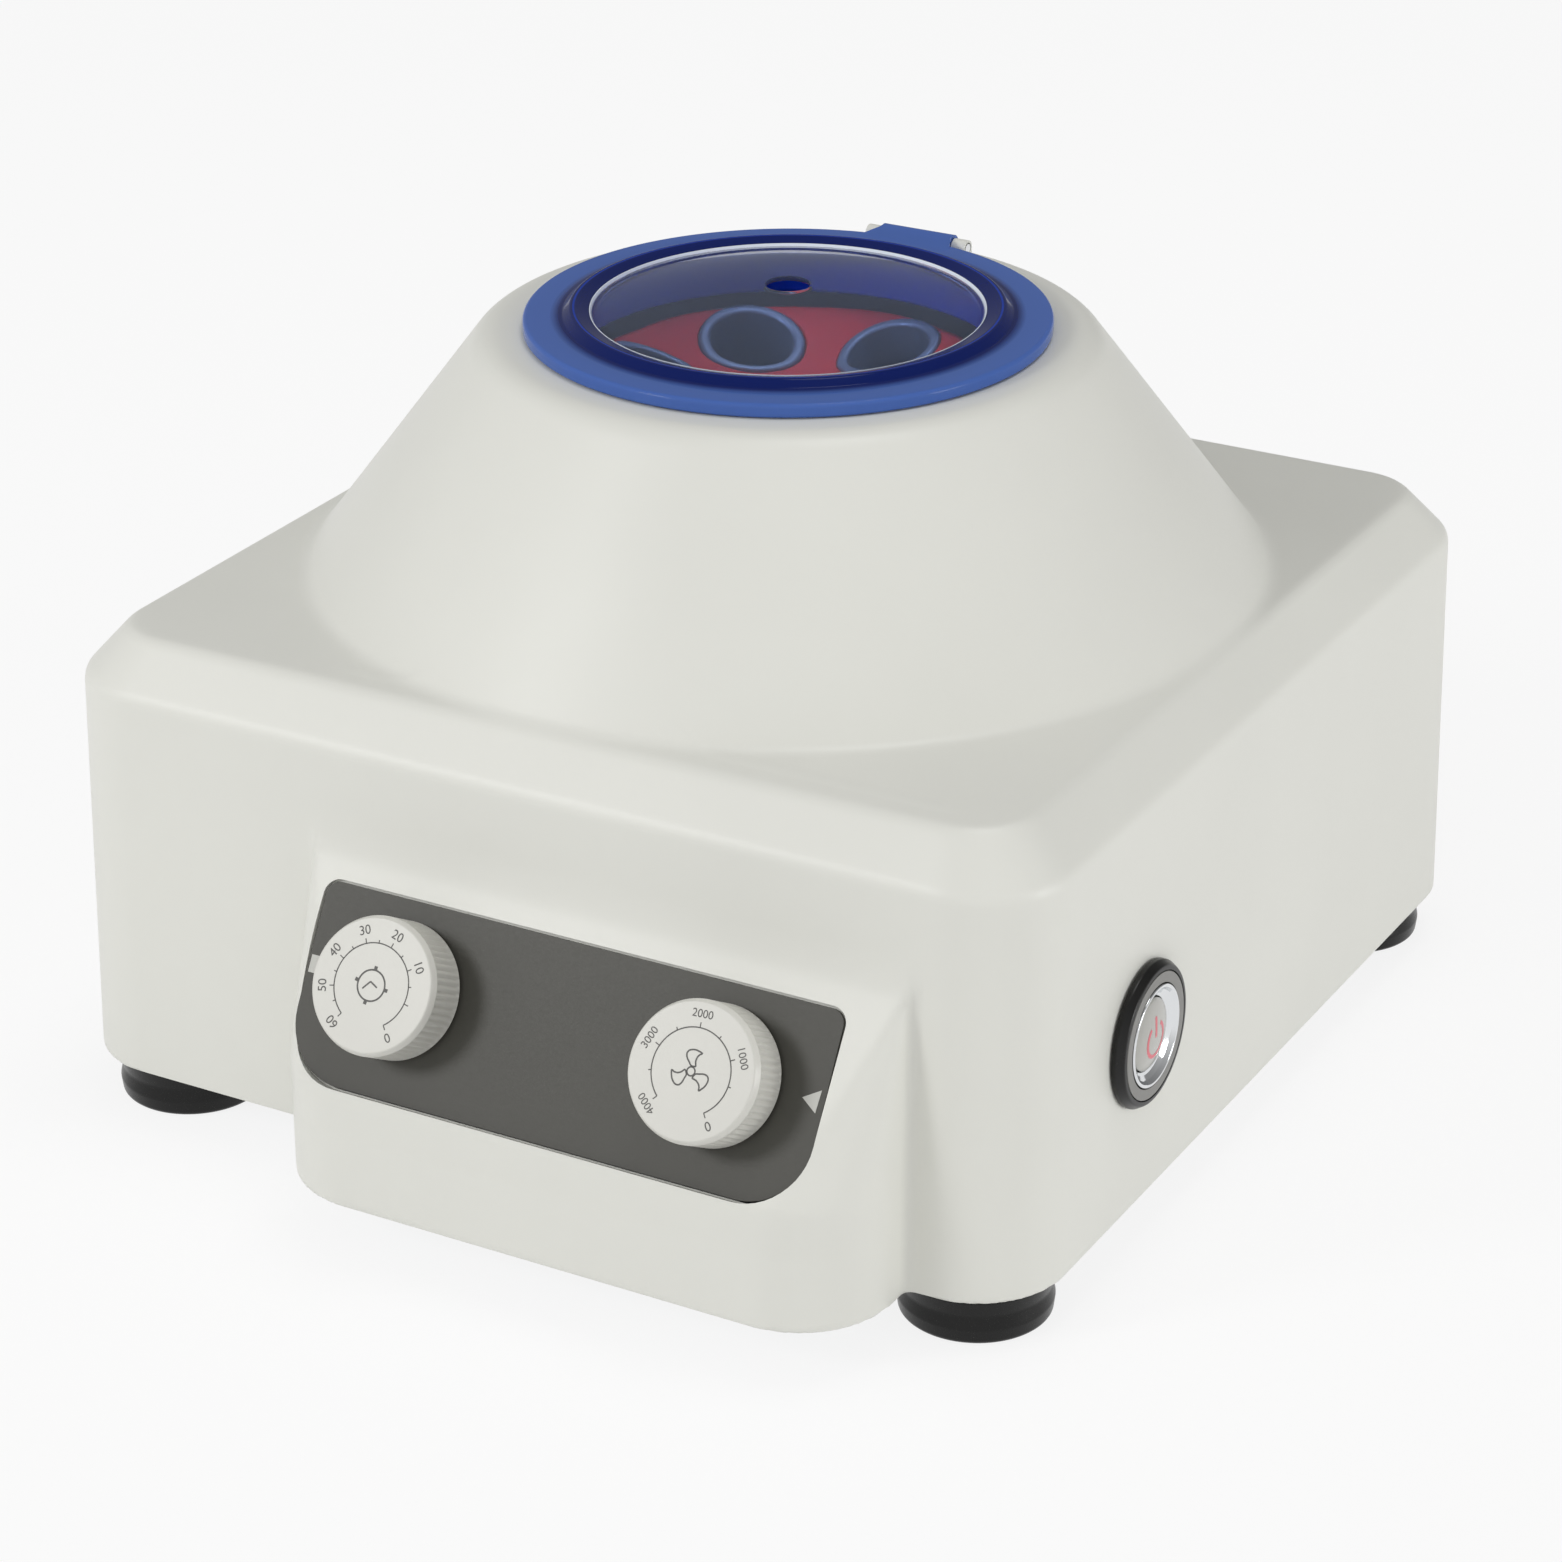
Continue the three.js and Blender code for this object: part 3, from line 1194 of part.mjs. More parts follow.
// Mains inlet with its three blades, made along +Z with the outer face of the wall at z = 0
function makeInlet() {
  const flange = plate(
    roundedRectangle(INLET_FLANGE_WIDTH / 2, INLET_FLANGE_HEIGHT / 2, INLET_CORNER, 2),
    GAP,
    GAP + INLET_FLANGE_THICKNESS,
  );
  const box = block(
    [-INLET_WIDTH / 2, -INLET_HEIGHT / 2, -INLET_DEPTH],
    [INLET_WIDTH / 2, INLET_HEIGHT / 2, INLET_FLANGE_THICKNESS / 2],
  );
  const mouth = GAP + INLET_FLANGE_THICKNESS;
  const [halfWidth, halfHeight] = [SOCKET_WIDTH / 2, SOCKET_HEIGHT / 2];
  const socket = plate(
    [
      [-halfWidth, -halfHeight],
      [halfWidth, -halfHeight],
      [halfWidth, halfHeight - SOCKET_CUT],
      [halfWidth - SOCKET_CUT, halfHeight],
      [SOCKET_CUT - halfWidth, halfHeight],
      [-halfWidth, halfHeight - SOCKET_CUT],
    ],
    mouth - SOCKET_DEPTH,
    mouth + OVERRUN,
  );
  const holes = [-1, 1].map((side) =>
    solid(bar(M3_RADIUS + GAP, -OVERRUN, mouth + OVERRUN).translate((side * INLET_SCREW_PITCH) / 2, 0, 0)),
  );
  const blades = [-1, 0, 1].map((side) => {
    const y = side === 0 ? BLADE_DROP : -BLADE_DROP;
    const bottom = mouth - SOCKET_DEPTH - GAP;
    return solid(
      block(
        [side * BLADE_PITCH - BLADE_WIDTH / 2, y - BLADE_HEIGHT / 2, bottom],
        [side * BLADE_PITCH + BLADE_WIDTH / 2, y + BLADE_HEIGHT / 2, bottom + BLADE_LENGTH],
      ),
    );
  });
  return join(cut(join(solid(flange), solid(box)), solid(socket), ...holes), ...blades);
}

// Control board with its spacers, heat sink, capacitors and terminal strip
function makeBoard() {
  const foot = PLATE_TOP_Z + GAP;
  const bottom = foot + BOARD_SPACER_HEIGHT;
  const top = bottom + BOARD_THICKNESS;
  const sunk = top - BOARD_THICKNESS / 2;
  const left = POST_PLACE * Math.sin(FULL_TURN / MOUNT_COUNT) + DAMPER_RADIUS + BOARD_MOUNT_GAP;
  const right = BODY_WIDTH / 2 - WALL - BOARD_WALL_GAP;
  const [halfWidth, halfDepth] = [(right - left) / 2, BOARD_DEPTH / 2];
  const spacers = [-1, 1].flatMap((sx) =>
    [-1, 1].map((sy) => {
      const x = sx * (halfWidth - BOARD_SPACER_INSET);
      const y = sy * (halfDepth - BOARD_SPACER_INSET);
      return solid(bar(BOARD_SPACER_RADIUS, foot, bottom + BOARD_THICKNESS / 2).translate(x, y, 0));
    }),
  );
  const sheet = solid(block([-halfWidth, -halfDepth, bottom], [halfWidth, halfDepth, top]));
  const heatSink = solid(
    block([-SINK_WIDTH / 2, -SINK_LENGTH / 2, sunk], [SINK_WIDTH / 2, SINK_LENGTH / 2, top + SINK_HEIGHT]),
  );
  const capacitors = [-1, 1].map((side) =>
    solid(
      bar(CAPACITOR_RADIUS, sunk, top + CAPACITOR_HEIGHT).translate(
        halfWidth / 2,
        side * 2 * CAPACITOR_RADIUS,
        0,
      ),
    ),
  );
  const terminals = solid(
    block(
      [-halfWidth + TERMINAL_WIDTH / 2, -TERMINAL_LENGTH / 2, sunk],
      [-halfWidth + (TERMINAL_WIDTH * 3) / 2, TERMINAL_LENGTH / 2, top + TERMINAL_HEIGHT],
    ),
  );
  const board = join(sheet, ...spacers, heatSink, ...capacitors, terminals);
  return geometryOf(board).translate((left + right) / 2, BOARD_Y, 0);
}

// How far the pieces reach past the body, which centres the bounding box on the origin
function knobReach() {
  const out = KNOB_BASE + KNOB_HEIGHT;
  const lower = -FRONT_Y + KNOB_DOWN * Math.sin(BUMP_LEAN) + out * Math.cos(BUMP_LEAN);
  return lower + (KNOB_RADIUS - KNOB_LIP) * Math.sin(BUMP_LEAN);
}

const switchReach = SWITCH_WALL_X + BEZEL_HEIGHT + GAP;
const inletReach = INLET_WALL_Y + INLET_FLANGE_THICKNESS + M3_HEAD_HEIGHT + 2 * GAP;
const rearReach = Math.max(inletReach, BODY_DEPTH / 2);
const frontReach = Math.max(knobReach(), BODY_DEPTH / 2 + BUMP_DEPTH);

// The assembly
const centrifuge = new THREE.Group();
const inner = new THREE.Group();
inner.position.set(-(switchReach - BODY_WIDTH / 2) / 2, (frontReach - rearReach) / 2, 0);
centrifuge.add(inner);

inner.add(mesh("housing", makeHousing(), whiteShell));
inner.add(mesh("chamber_cone", makeChamberCone(), whiteShell));
inner.add(mesh("base_plate", makeBasePlate(), zincSteel));

corners(FOOT_X, FOOT_Y).forEach(({ name, x, y }, i) => {
  const foot = mesh(`foot_${name}`, makeFoot(), blackRubber);
  foot.position.set(x, y, 0);
  const headZ = FOOT_SINK_DEPTH - GAP;
  const reach = PLATE_TOP_Z + FOOT_SCREW_REACH - headZ;
  const body = screw(M4_RADIUS, reach, M4_HEAD_RADIUS, M4_HEAD_HEIGHT);
  const bolt = mesh(`foot_screw_${i + 1}`, body, zincSteel);
  bolt.position.set(x, y, headZ);
  bolt.rotation.x = Math.PI;
  inner.add(foot, bolt);
});

inner.add(mesh("lid", makeLid(), blueClear));
inner.add(mesh("hinge_pin", makeHingePin(), brightSteel));

inner.add(mesh("chamber_bowl", makeBowl(), castAluminium));
corners(EAR_PLACE, EAR_PLACE).forEach(({ x, y }, i) => {
  const headZ = ROOF_Z - EAR_BOSS_HEIGHT - GAP - BOWL_WALL - GAP;
  const bolt = mesh(
    `bowl_screw_${i + 1}`,
    screw(M3_RADIUS, BOWL_SCREW_REACH + BOWL_WALL, M3_HEAD_RADIUS, M3_HEAD_HEIGHT),
    zincSteel,
  );
  bolt.position.set(x, y, headZ);
  bolt.rotation.x = Math.PI;
  inner.add(bolt);
});

inner.add(mesh("rotor", makeRotor(), redPaint));
around(TUBE_COUNT, 0, TUBE_FIRST_ANGLE).forEach(({ angle }, i) => {
  const sleeve = mesh(`sleeve_${i + 1}`, makeSleeve(), satinSteel);
  sleeve.applyMatrix4(tubeMatrix(angle));
  inner.add(sleeve);
});
inner.add(mesh("rotor_nut", makeRotorNut(), brightSteel));

inner.add(mesh("motor_shaft", makeShaft(), satinSteel));
inner.add(mesh("motor_body", makeMotorBody(), castAluminium));
inner.add(mesh("motor_plate", makeMotorPlate(), zincSteel));
around(MOUNT_COUNT, POST_PLACE).forEach(({ x, y }, i) => {
  const post = mesh(`motor_post_${i + 1}`, makeMotorPost(), zincSteel);
  const damper = mesh(`damper_${i + 1}`, makeDamper(), blackRubber);
  const reach = MOUNT_THICKNESS + GAP + DAMPER_HEIGHT + POST_BORE_DEPTH / 2;
  const body = screw(M4_RADIUS, reach, M4_HEAD_RADIUS, M4_HEAD_HEIGHT);
  const bolt = mesh(`post_screw_${i + 1}`, body, zincSteel);
  post.position.set(x, y, 0);
  damper.position.set(x, y, 0);
  bolt.position.set(x, y, MOUNT_Z + MOUNT_THICKNESS + GAP);
  inner.add(post, damper, bolt);
});
around(MOUNT_COUNT, MOTOR_SCREW_PLACE, Math.PI / MOUNT_COUNT).forEach(({ x, y }, i) => {
  const reach = MOUNT_THICKNESS + MOTOR_SCREW_REACH - GAP;
  const body = screw(M3_RADIUS, reach, M3_HEAD_RADIUS, M3_HEAD_HEIGHT);
  const bolt = mesh(`motor_screw_${i + 1}`, body, zincSteel);
  bolt.position.set(x, y, MOUNT_Z + MOUNT_THICKNESS + GAP);
  inner.add(bolt);
});

inner.add(placeOnFace(mesh("faceplate", makeFaceplate(), greyPlate)));
const timerPart = { name: "timer_body", body: makeTimerBody(), material: blackPlastic };
const speedPart = { name: "speed_pot", body: makePotBody(), material: zincSteel };
inner.add(controlSet(TIMER_X, "timer", timerPart));
inner.add(controlSet(SPEED_X, "speed", speedPart));

inner.add(
  mesh("switch_bezel", alongX(geometryOf(makeBezel())), blackPlastic),
  mesh("switch_trim", alongX(geometryOf(makeTrim())), greyTrim),
  mesh("switch_ring", alongX(geometryOf(makeSwitchRing())), brightSteel),
  mesh("switch_button", alongX(geometryOf(makeButton())), clearButton),
  mesh("switch_body", alongX(geometryOf(makeSwitchBody())), blackPlastic),
  mesh("switch_nut", alongX(geometryOf(makeSwitchNut())), blackPlastic),
);

inner.add(mesh("mains_inlet", atInlet(geometryOf(makeInlet())), blackPlastic));
[-1, 1].forEach((side, i) => {
  const head = GAP + INLET_FLANGE_THICKNESS + GAP;
  const bolt = geometryOf(screw(M3_RADIUS, INLET_SCREW_REACH + head, M3_HEAD_RADIUS, M3_HEAD_HEIGHT));
  bolt.translate((side * INLET_SCREW_PITCH) / 2, 0, head);
  inner.add(mesh(`inlet_screw_${i + 1}`, atInlet(bolt), zincSteel));
});

inner.add(mesh("control_board", makeBoard(), greenBoard));

export default centrifuge;
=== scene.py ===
"""The looks of the tube centrifuge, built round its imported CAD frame.

Shapes are written in millimetres about the rotor's axis, as in the CAD source, and placed in metres.
X runs across the front, -Y faces the person at the dials and +Z is up.
A rounding beside a corner's two numbers is the radius of the arc that takes its place.
"""

import json
import math

import bmesh
import bpy
import numpy as np
from mathutils import Matrix, Vector


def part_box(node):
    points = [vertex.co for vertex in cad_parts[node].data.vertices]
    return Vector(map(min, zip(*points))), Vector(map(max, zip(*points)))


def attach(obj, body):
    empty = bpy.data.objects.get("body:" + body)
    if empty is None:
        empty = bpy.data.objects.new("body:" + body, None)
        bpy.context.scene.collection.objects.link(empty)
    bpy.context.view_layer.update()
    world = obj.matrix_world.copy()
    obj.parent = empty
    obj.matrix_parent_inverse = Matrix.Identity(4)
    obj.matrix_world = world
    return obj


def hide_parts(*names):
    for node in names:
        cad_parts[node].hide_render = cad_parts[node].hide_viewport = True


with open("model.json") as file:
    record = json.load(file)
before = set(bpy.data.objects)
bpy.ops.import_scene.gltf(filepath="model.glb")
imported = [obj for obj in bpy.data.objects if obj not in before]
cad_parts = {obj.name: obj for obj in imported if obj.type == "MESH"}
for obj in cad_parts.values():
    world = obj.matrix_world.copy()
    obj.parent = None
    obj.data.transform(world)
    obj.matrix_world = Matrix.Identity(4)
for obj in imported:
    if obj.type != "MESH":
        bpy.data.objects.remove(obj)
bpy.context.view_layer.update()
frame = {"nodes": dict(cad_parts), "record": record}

MM = 0.001
bowl_low, bowl_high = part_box("chamber_bowl")
AXIS = np.array([(bowl_low.x + bowl_high.x) / 2, (bowl_low.y + bowl_high.y) / 2, 0.0])

# Body: a drafted square with a bevelled top
BODY_HALF_X = 139.5
BODY_HALF_Y = 139.6
BODY_BOTTOM = 13.7
BEVEL_Z = 120.1
BODY_TOP = 132.8
DRAFT = 1.5
BEVEL_RUN = 11.0
BODY_CORNER = 24.0
TOP_CORNER = 16.0
WALL = 3.0

# Cone, with a flat under the lid and a mouth in it
CONE_BASE = 125.7
CONE_TOP = 195.2
CONE_FLAT = 74.1
CONE_SHOULDER = 9.2
MOUTH = 60.4
NECK = 62.9
NECK_BOTTOM = 185.2

# Leaning control bump on the front wall
BUMP_LEFT = -56.5
BUMP_RIGHT = 109.2
BUMP_TOP = 94.6
BUMP_DEPTH = 32.0
BUMP_CORNER_SHARE = 0.78
LEAN = math.radians(30)

# How far the shell's faces blend into each other
BEVEL_BLEND = 1.4
EDGE_BLEND = 1.6
CONE_BLEND = 1.8
BUMP_BLEND = 3.0
BUMP_FOLD = 7.0

# Posts over the feet, and bosses for the bowl's screws
FOOT_PLACES = [(x, y) for x in (-116, 116) for y in (-116.1, 116.1)]
BOSS_PLACES = [(x, y) for x in (-93.97, 93.97) for y in (-93.97, 93.97)]
POST_RADIUS = 5.2
POST_BOTTOM = 16.5
BOSS_RADIUS = 6.0
BOSS_BOTTOM = 126.8
POST_TOP = 131.3
FOOT_SCREW_HOLE = 2.3

# Hinge and lid
HINGE_Y = 72.0
HINGE_Z = 196.9
LUG_X = 12.9
LUG_HALF = 2.0
LUG_RADIUS = 2.4
KNUCKLE_RADIUS = 3.2
LUG_FOOT = 190.5
EAR_HALF = 10.5
PIN_HOLE = 1.8
LID_TOP = 199.1
LID_RADIUS = 68.0
LID_FLANGE = 3.6
SKIRT_BOTTOM = 185.1
SKIRT_INNER = 54.9
SKIRT_OUTER = 59.3
WINDOW_RADIUS = 50.2
WINDOW_SEAT = WINDOW_RADIUS + 0.05
WINDOW_LIFT = 0.7
WINDOW_RISE = 6.9
WINDOW_THICKNESS = 1.3
VENT_RADIUS = 5.6
LID_SIDES = 192

# Rotor and tube sleeves
TUBES = 6
TUBE_LEAN = math.radians(22)
TUBE_MOUTH_Z = 179.0
TUBE_MOUTH_RADIUS = 37.0
TUBE_FIRST = 16
ROTOR_RIM = 52.0
ROTOR_RIM_Z = 182.9
ROTOR_PLATE = 20.0
ROTOR_EDGE = 2.2
ROTOR_BOTTOM = 118.0
HUB_RADIUS = 17
HUB_TOP = 16
LOBE_DEPTH = 2.0
LOBE_START = 40
LOBE_FADE = 10
LOBE_FIRST = math.radians(87)
SHAFT_HOLE = 4.3
SHAFT_TOP = 173.3
NUT_BOTTOM = 168.66
NUT_RADIUS = 10.0

# Dials, as heights over the leaning face
KNOB_X = {"timer": -22.4, "speed": 66.6}
KNOB_DOWN = 30.0
KNOB_RADIUS = 17.2
KNOB_BASE = 1.2
KNOB_RIDGE = 12.5
KNOB_FACE = 14.4
KNOB_INSIDE = 4.8
KNOB_RIBS = 60
RIB_DEPTH = 0.5
BUSHING_HOLE = 4.9
STEM_HOLE = 3.3
DIAL_RING = 10.35
NUMBERS_OUT = 3.2
PLATE_PRINT = (0.47, 0.56)

# Power button, as heights over the right wall
BUTTON_TOP = 3.6
CAP_RADIUS = 9.3
CAP_CROWN = 1.4
CAP_EDGE = BUTTON_TOP - 1.7
CAP_PRINT = (-0.04, 0.05)
BEZEL_HOLE = 13.4
SWITCH_HOLE = 14.9

# Screws at both ends of the mains inlet
INLET_SCREWS = [(-20, 0), (20, 0)]
INLET_SCREW_HOLE = 1.8

# The floor and the background as the camera, metal and glass see them
PALE = (0.985, 0.985, 0.985, 1)
BACKDROP = (0.955, 0.955, 0.955, 1)


# ------------------------------------------------ camera

def camera():
    data = bpy.data.cameras.new("camera")
    data.sensor_width = 36
    data.lens = 105.94
    data.clip_start, data.clip_end = 0.05, 50
    made = bpy.data.objects.new("camera", data)
    bpy.context.scene.collection.objects.link(made)
    place = Vector((0.54107, -0.96020, 0.59070))
    target = Vector((-0.01125, 0.02677, 0.05902))
    turn = (target - place).to_track_quat("-Z", "Y").to_matrix()
    roll = Matrix.Rotation(math.radians(-0.23), 3, "Z")
    made.matrix_world = Matrix.Translation(place) @ (turn @ roll).to_4x4()
    bpy.context.scene.camera = made


# ------------------------------------------------ materials

def linear(red, green, blue):
    """An 8-bit sRGB colour as the linear values that shaders take."""
    share = [c / 255 for c in (red, green, blue)]
    return [c / 12.92 if c <= 0.04045 else ((c + 0.055) / 1.055) ** 2.4 for c in share]


def new_material(name):
    """A node material: its nodes, links, shader and texture coordinates."""
    made = bpy.data.materials.new(name)
    made.use_nodes = True
    nodes, links = made.node_tree.nodes, made.node_tree.links
    return made, nodes, links, nodes["Principled BSDF"], nodes.new("ShaderNodeTexCoord")


def mapped(nodes, links, value, low, high, start=0.0, end=1.0):
    """A value from start to end, stretched to run from low to high."""
    step = nodes.new("ShaderNodeMapRange")
    for name, number in (("From Min", start), ("From Max", end), ("To Min", low), ("To Max", high)):
        step.inputs[name].default_value = number
    links.new(value, step.inputs["Value"])
    return step.outputs["Result"]


def joined(nodes, links, operation, first, second):
    """Two values through one math step."""
    step = nodes.new("ShaderNodeMath")
    step.operation = operation
    links.new(first, step.inputs[0])
    links.new(second, step.inputs[1])
    return step.outputs["Value"]


def noise(nodes, links, where, cells, detail):
    made = nodes.new("ShaderNodeTexNoise")
    made.inputs["Scale"].default_value = cells
    made.inputs["Detail"].default_value = detail
    links.new(where.outputs["Object"], made.inputs["Vector"])
    return made.outputs["Fac"]


def raised(nodes, links, shader, pattern, height, strength):
    """The pattern lifts the surface by a height in millimetres."""
    bump = nodes.new("ShaderNodeBump")
    bump.inputs["Distance"].default_value = height * MM
    bump.inputs["Strength"].default_value = strength
    links.new(pattern, bump.inputs["Height"])
    links.new(bump.outputs["Normal"], shader.inputs["Normal"])


def finish_of(name, color, roughness, metallic=0.0, grain=(600, 0.05, 0.0), tint=0.04, coat=0.0, gloss=0.5):
    """A node material: colour and roughness vary slowly, and a fine grain lifts the surface.

    color is 8-bit sRGB, and grain is (cells a metre, how much the roughness varies, height in millimetres).
    """
    made, nodes, links, shader, where = new_material(name)
    shader.inputs["Metallic"].default_value = metallic
    shader.inputs["Coat Weight"].default_value = coat
    shader.inputs["Specular IOR Level"].default_value = gloss
    shader.inputs["Coat Roughness"].default_value = 0.15

    ramp = nodes.new("ShaderNodeValToRGB")
    ramp.color_ramp.elements[0].position = 0.3
    ramp.color_ramp.elements[1].position = 0.7
    for element, gain in zip(ramp.color_ramp.elements, (1 - tint, 1.0)):
        element.color = [*(c * gain for c in linear(*color)), 1]
    links.new(noise(nodes, links, where, 14, 3), ramp.inputs["Fac"])
    links.new(ramp.outputs["Color"], shader.inputs["Base Color"])

    cells, span, height = grain
    fine = noise(nodes, links, where, cells, 2)
    rough = mapped(nodes, links, fine, max(roughness - span, 0.02), min(roughness + span, 1))
    links.new(rough, shader.inputs["Roughness"])
    if height:
        raised(nodes, links, shader, fine, height, 0.6)
    return made


def rippled(nodes, links, shader, where, cells, height, smoothest, roughest):
    """The slow waviness of moulded clear plastic, in the surface and in how sharply it mirrors."""
    ripple = noise(nodes, links, where, cells, 2)
    raised(nodes, links, shader, ripple, height, 0.5)
    links.new(mapped(nodes, links, ripple, smoothest, roughest), shader.inputs["Roughness"])


def clear_blue():
    """The lid's window: clear and polished, and bluer the more of it the light goes through."""
    made, nodes, links, shader, where = new_material("blue_lid")
    shader.inputs["Base Color"].default_value = (0.9, 0.95, 1, 1)
    shader.inputs["Transmission Weight"].default_value = 0.97
    shader.inputs["IOR"].default_value = 1.15
    rippled(nodes, links, shader, where, 55, 0.02, 0.02, 0.06)
    absorb = nodes.new("ShaderNodeVolumeAbsorption")
    absorb.inputs["Color"].default_value = (0.06, 0.317, 0.833, 1)
    absorb.inputs["Density"].default_value = 270
    links.new(absorb.outputs["Volume"], nodes["Material Output"].inputs["Volume"])
    path = nodes.new("ShaderNodeLightPath")
    open_way = nodes.new("ShaderNodeBsdfTransparent")
    mix = nodes.new("ShaderNodeMixShader")
    links.new(path.outputs["Is Shadow Ray"], mix.inputs["Fac"])
    links.new(shader.outputs["BSDF"], mix.inputs[1])
    links.new(open_way.outputs["BSDF"], mix.inputs[2])
    links.new(mix.outputs["Shader"], nodes["Material Output"].inputs["Surface"])
    return made


def blue_rim():
    """The lid's thick edge: milky blue, with painted shade that darkens it over the skirt and painted light
    that brightens the skirt's inner face.
    """
    made, nodes, links, shader, where = new_material("blue_rim")
    shader.inputs["Transmission Weight"].default_value = 0.3
    shader.inputs["IOR"].default_value = 1.28
    shader.inputs["Specular IOR Level"].default_value = 0.2
    rippled(nodes, links, shader, where, 60, 0.03, 0.06, 0.14)

    steps = []
    for operation, value in (("SUBTRACT", AXIS), ("MULTIPLY", (1, 1, 0)), ("LENGTH", None)):
        step = nodes.new("ShaderNodeVectorMath")
        step.operation = operation
        if value is not None:
            step.inputs[1].default_value = value
        links.new(steps[-1].outputs["Vector"] if steps else where.outputs["Object"], step.inputs[0])
        steps.append(step)
    radius = steps[-1].outputs["Value"]
    # By radius: the navy bands are painted shade, the brighter blue on the skirt's inner face is painted
    # light, and the flange has the plain blue
    painted_shade_navy, skirt, flange = (0.006, 0.018, 0.15, 1), (0.002, 0.05, 0.5, 1), (0.092, 0.188, 0.57, 1)
    ramp = nodes.new("ShaderNodeValToRGB")
    ramp.color_ramp.elements[0].color = painted_shade_navy
    ramp.color_ramp.elements[1].color = flange
    for position, color in ((0.046, skirt), (0.077, skirt), (0.115, painted_shade_navy), (0.63, painted_shade_navy)):
        ramp.color_ramp.elements.new(position).color = color
    links.new(mapped(nodes, links, radius, 0, 1, 0.0545, 0.061), ramp.inputs["Fac"])
    links.new(ramp.outputs["Color"], shader.inputs["Base Color"])
    return made


FINISHES = {
    "white_shell": dict(color=(225, 225, 218), roughness=0.42, grain=(900, 0.05, 0.012), tint=0.03),
    "red_rotor": dict(color=(232, 40, 34), roughness=0.38, grain=(1500, 0.08, 0.02), tint=0.12),
    "satin_steel": dict(color=(140, 145, 154), roughness=0.5, metallic=0.7, grain=(1200, 0.1, 0.01)),
    "bright_steel": dict(color=(224, 226, 228), roughness=0.1, metallic=1, grain=(300, 0.05, 0.0)),
    "zinc_steel": dict(color=(178, 181, 184), roughness=0.42, metallic=1, grain=(500, 0.12, 0.01), tint=0.15),
    "bowl_aluminium": dict(color=(190, 193, 196), roughness=0.36, metallic=1, grain=(700, 0.1, 0.01)),
    "black_rubber": dict(color=(12, 12, 11), roughness=0.3, grain=(1600, 0.1, 0.01), tint=0.2, gloss=0.3),
    "black_plastic": dict(color=(14, 14, 13), roughness=0.3, grain=(1200, 0.06, 0.01), tint=0.15, gloss=0.35),
    "grey_plate": dict(color=(68, 67, 61), roughness=0.42, grain=(1400, 0.06, 0.015), tint=0.06, gloss=0.4),
    "grey_trim": dict(color=(132, 131, 128), roughness=0.4, metallic=0.3, grain=(2200, 0.1, 0.01)),
    "white_knob": dict(color=(213, 212, 205), roughness=0.34, grain=(1000, 0.05, 0.008), tint=0.03),
    "clear_button": dict(color=(172, 171, 165), roughness=0.16, grain=(700, 0.04, 0.0), coat=0.6),
    "green_board": dict(color=(34, 96, 62), roughness=0.5, grain=(900, 0.08, 0.02), tint=0.25),
    "dial_print": dict(color=(88, 87, 84), roughness=0.5, grain=(1200, 0.05, 0.0)),
    "pale_print": dict(color=(196, 196, 190), roughness=0.5, grain=(1200, 0.05, 0.0)),
    "red_print": dict(color=(220, 104, 116), roughness=0.3, grain=(900, 0.05, 0.0)),
    # A pale, near white colour: the painted highlight along the lid's step
    "painted_highlight_bead": dict(color=(236, 244, 252), roughness=0.12, grain=(300, 0.04, 0.0), tint=0.02),
}
MATERIALS = {name: finish_of(name, **finish) for name, finish in FINISHES.items()}
MATERIALS["blue_lid"] = clear_blue()
MATERIALS["blue_rim"] = blue_rim()


# ------------------------------------------------ mesh code

def rounded(corners, steps=5):
    """A closed outline of (x, y, radius) corners with each corner turned into an arc."""
    points = []
    count = len(corners)
    for i, (x, y, radius) in enumerate(corners):
        here = np.array([x, y], float)
        if not radius:
            points.append(here)
            continue
        before = np.array(corners[i - 1][:2], float) - here
        after = np.array(corners[(i + 1) % count][:2], float) - here
        room = min(np.linalg.norm(before), np.linalg.norm(after)) * 0.48
        before, after = before / np.linalg.norm(before), after / np.linalg.norm(after)
        half = math.acos(float(np.clip(before @ after, -1, 1))) / 2
        reach = min(radius / math.tan(half), room)
        radius = reach * math.tan(half)
        centre = here + (before + after) / np.linalg.norm(before + after) * radius / math.sin(half)
        start, end = here + before * reach - centre, here + after * reach - centre
        sweep = math.pi - 2 * half
        turn = sweep if start[0] * end[1] - start[1] * end[0] > 0 else -sweep
        for k in range(steps + 1):
            angle = turn * k / steps
            c, s = math.cos(angle), math.sin(angle)
            points.append(centre + [start[0] * c - start[1] * s, start[0] * s + start[1] * c])
    return np.array(points)


def lathe(corners, sides, steps=5, radius_at=None):
    """A closed outline of (radius, height, rounding) corners turned about Z.

    radius_at(rows, angles) may reshape the radius of each point, as ribs do.
    """
    outline = rounded(corners, steps)
    angles = np.arange(sides) * 2 * math.pi / sides
    radius = np.repeat(outline[:, :1], sides, axis=1)
    if radius_at:
        radius = radius_at(outline, angles)
    height = np.repeat(outline[:, 1:], sides, axis=1)
    points = np.stack([radius * np.cos(angles), radius * np.sin(angles), height], axis=2)
    rows = len(outline)
    index = np.arange(rows * sides).reshape(rows, sides)
    a, b = index, np.roll(index, -1, axis=1)
    c, d = np.roll(b, -1, axis=0), np.roll(a, -1, axis=0)
    on_axis = (outline[:, 0] < 1e-9) & (np.roll(outline[:, 0], -1) < 1e-9)
    faces = np.stack([a, b, c, d], axis=2)[~on_axis].reshape(-1, 4)
    return points.reshape(-1, 3), [list(f) for f in faces]


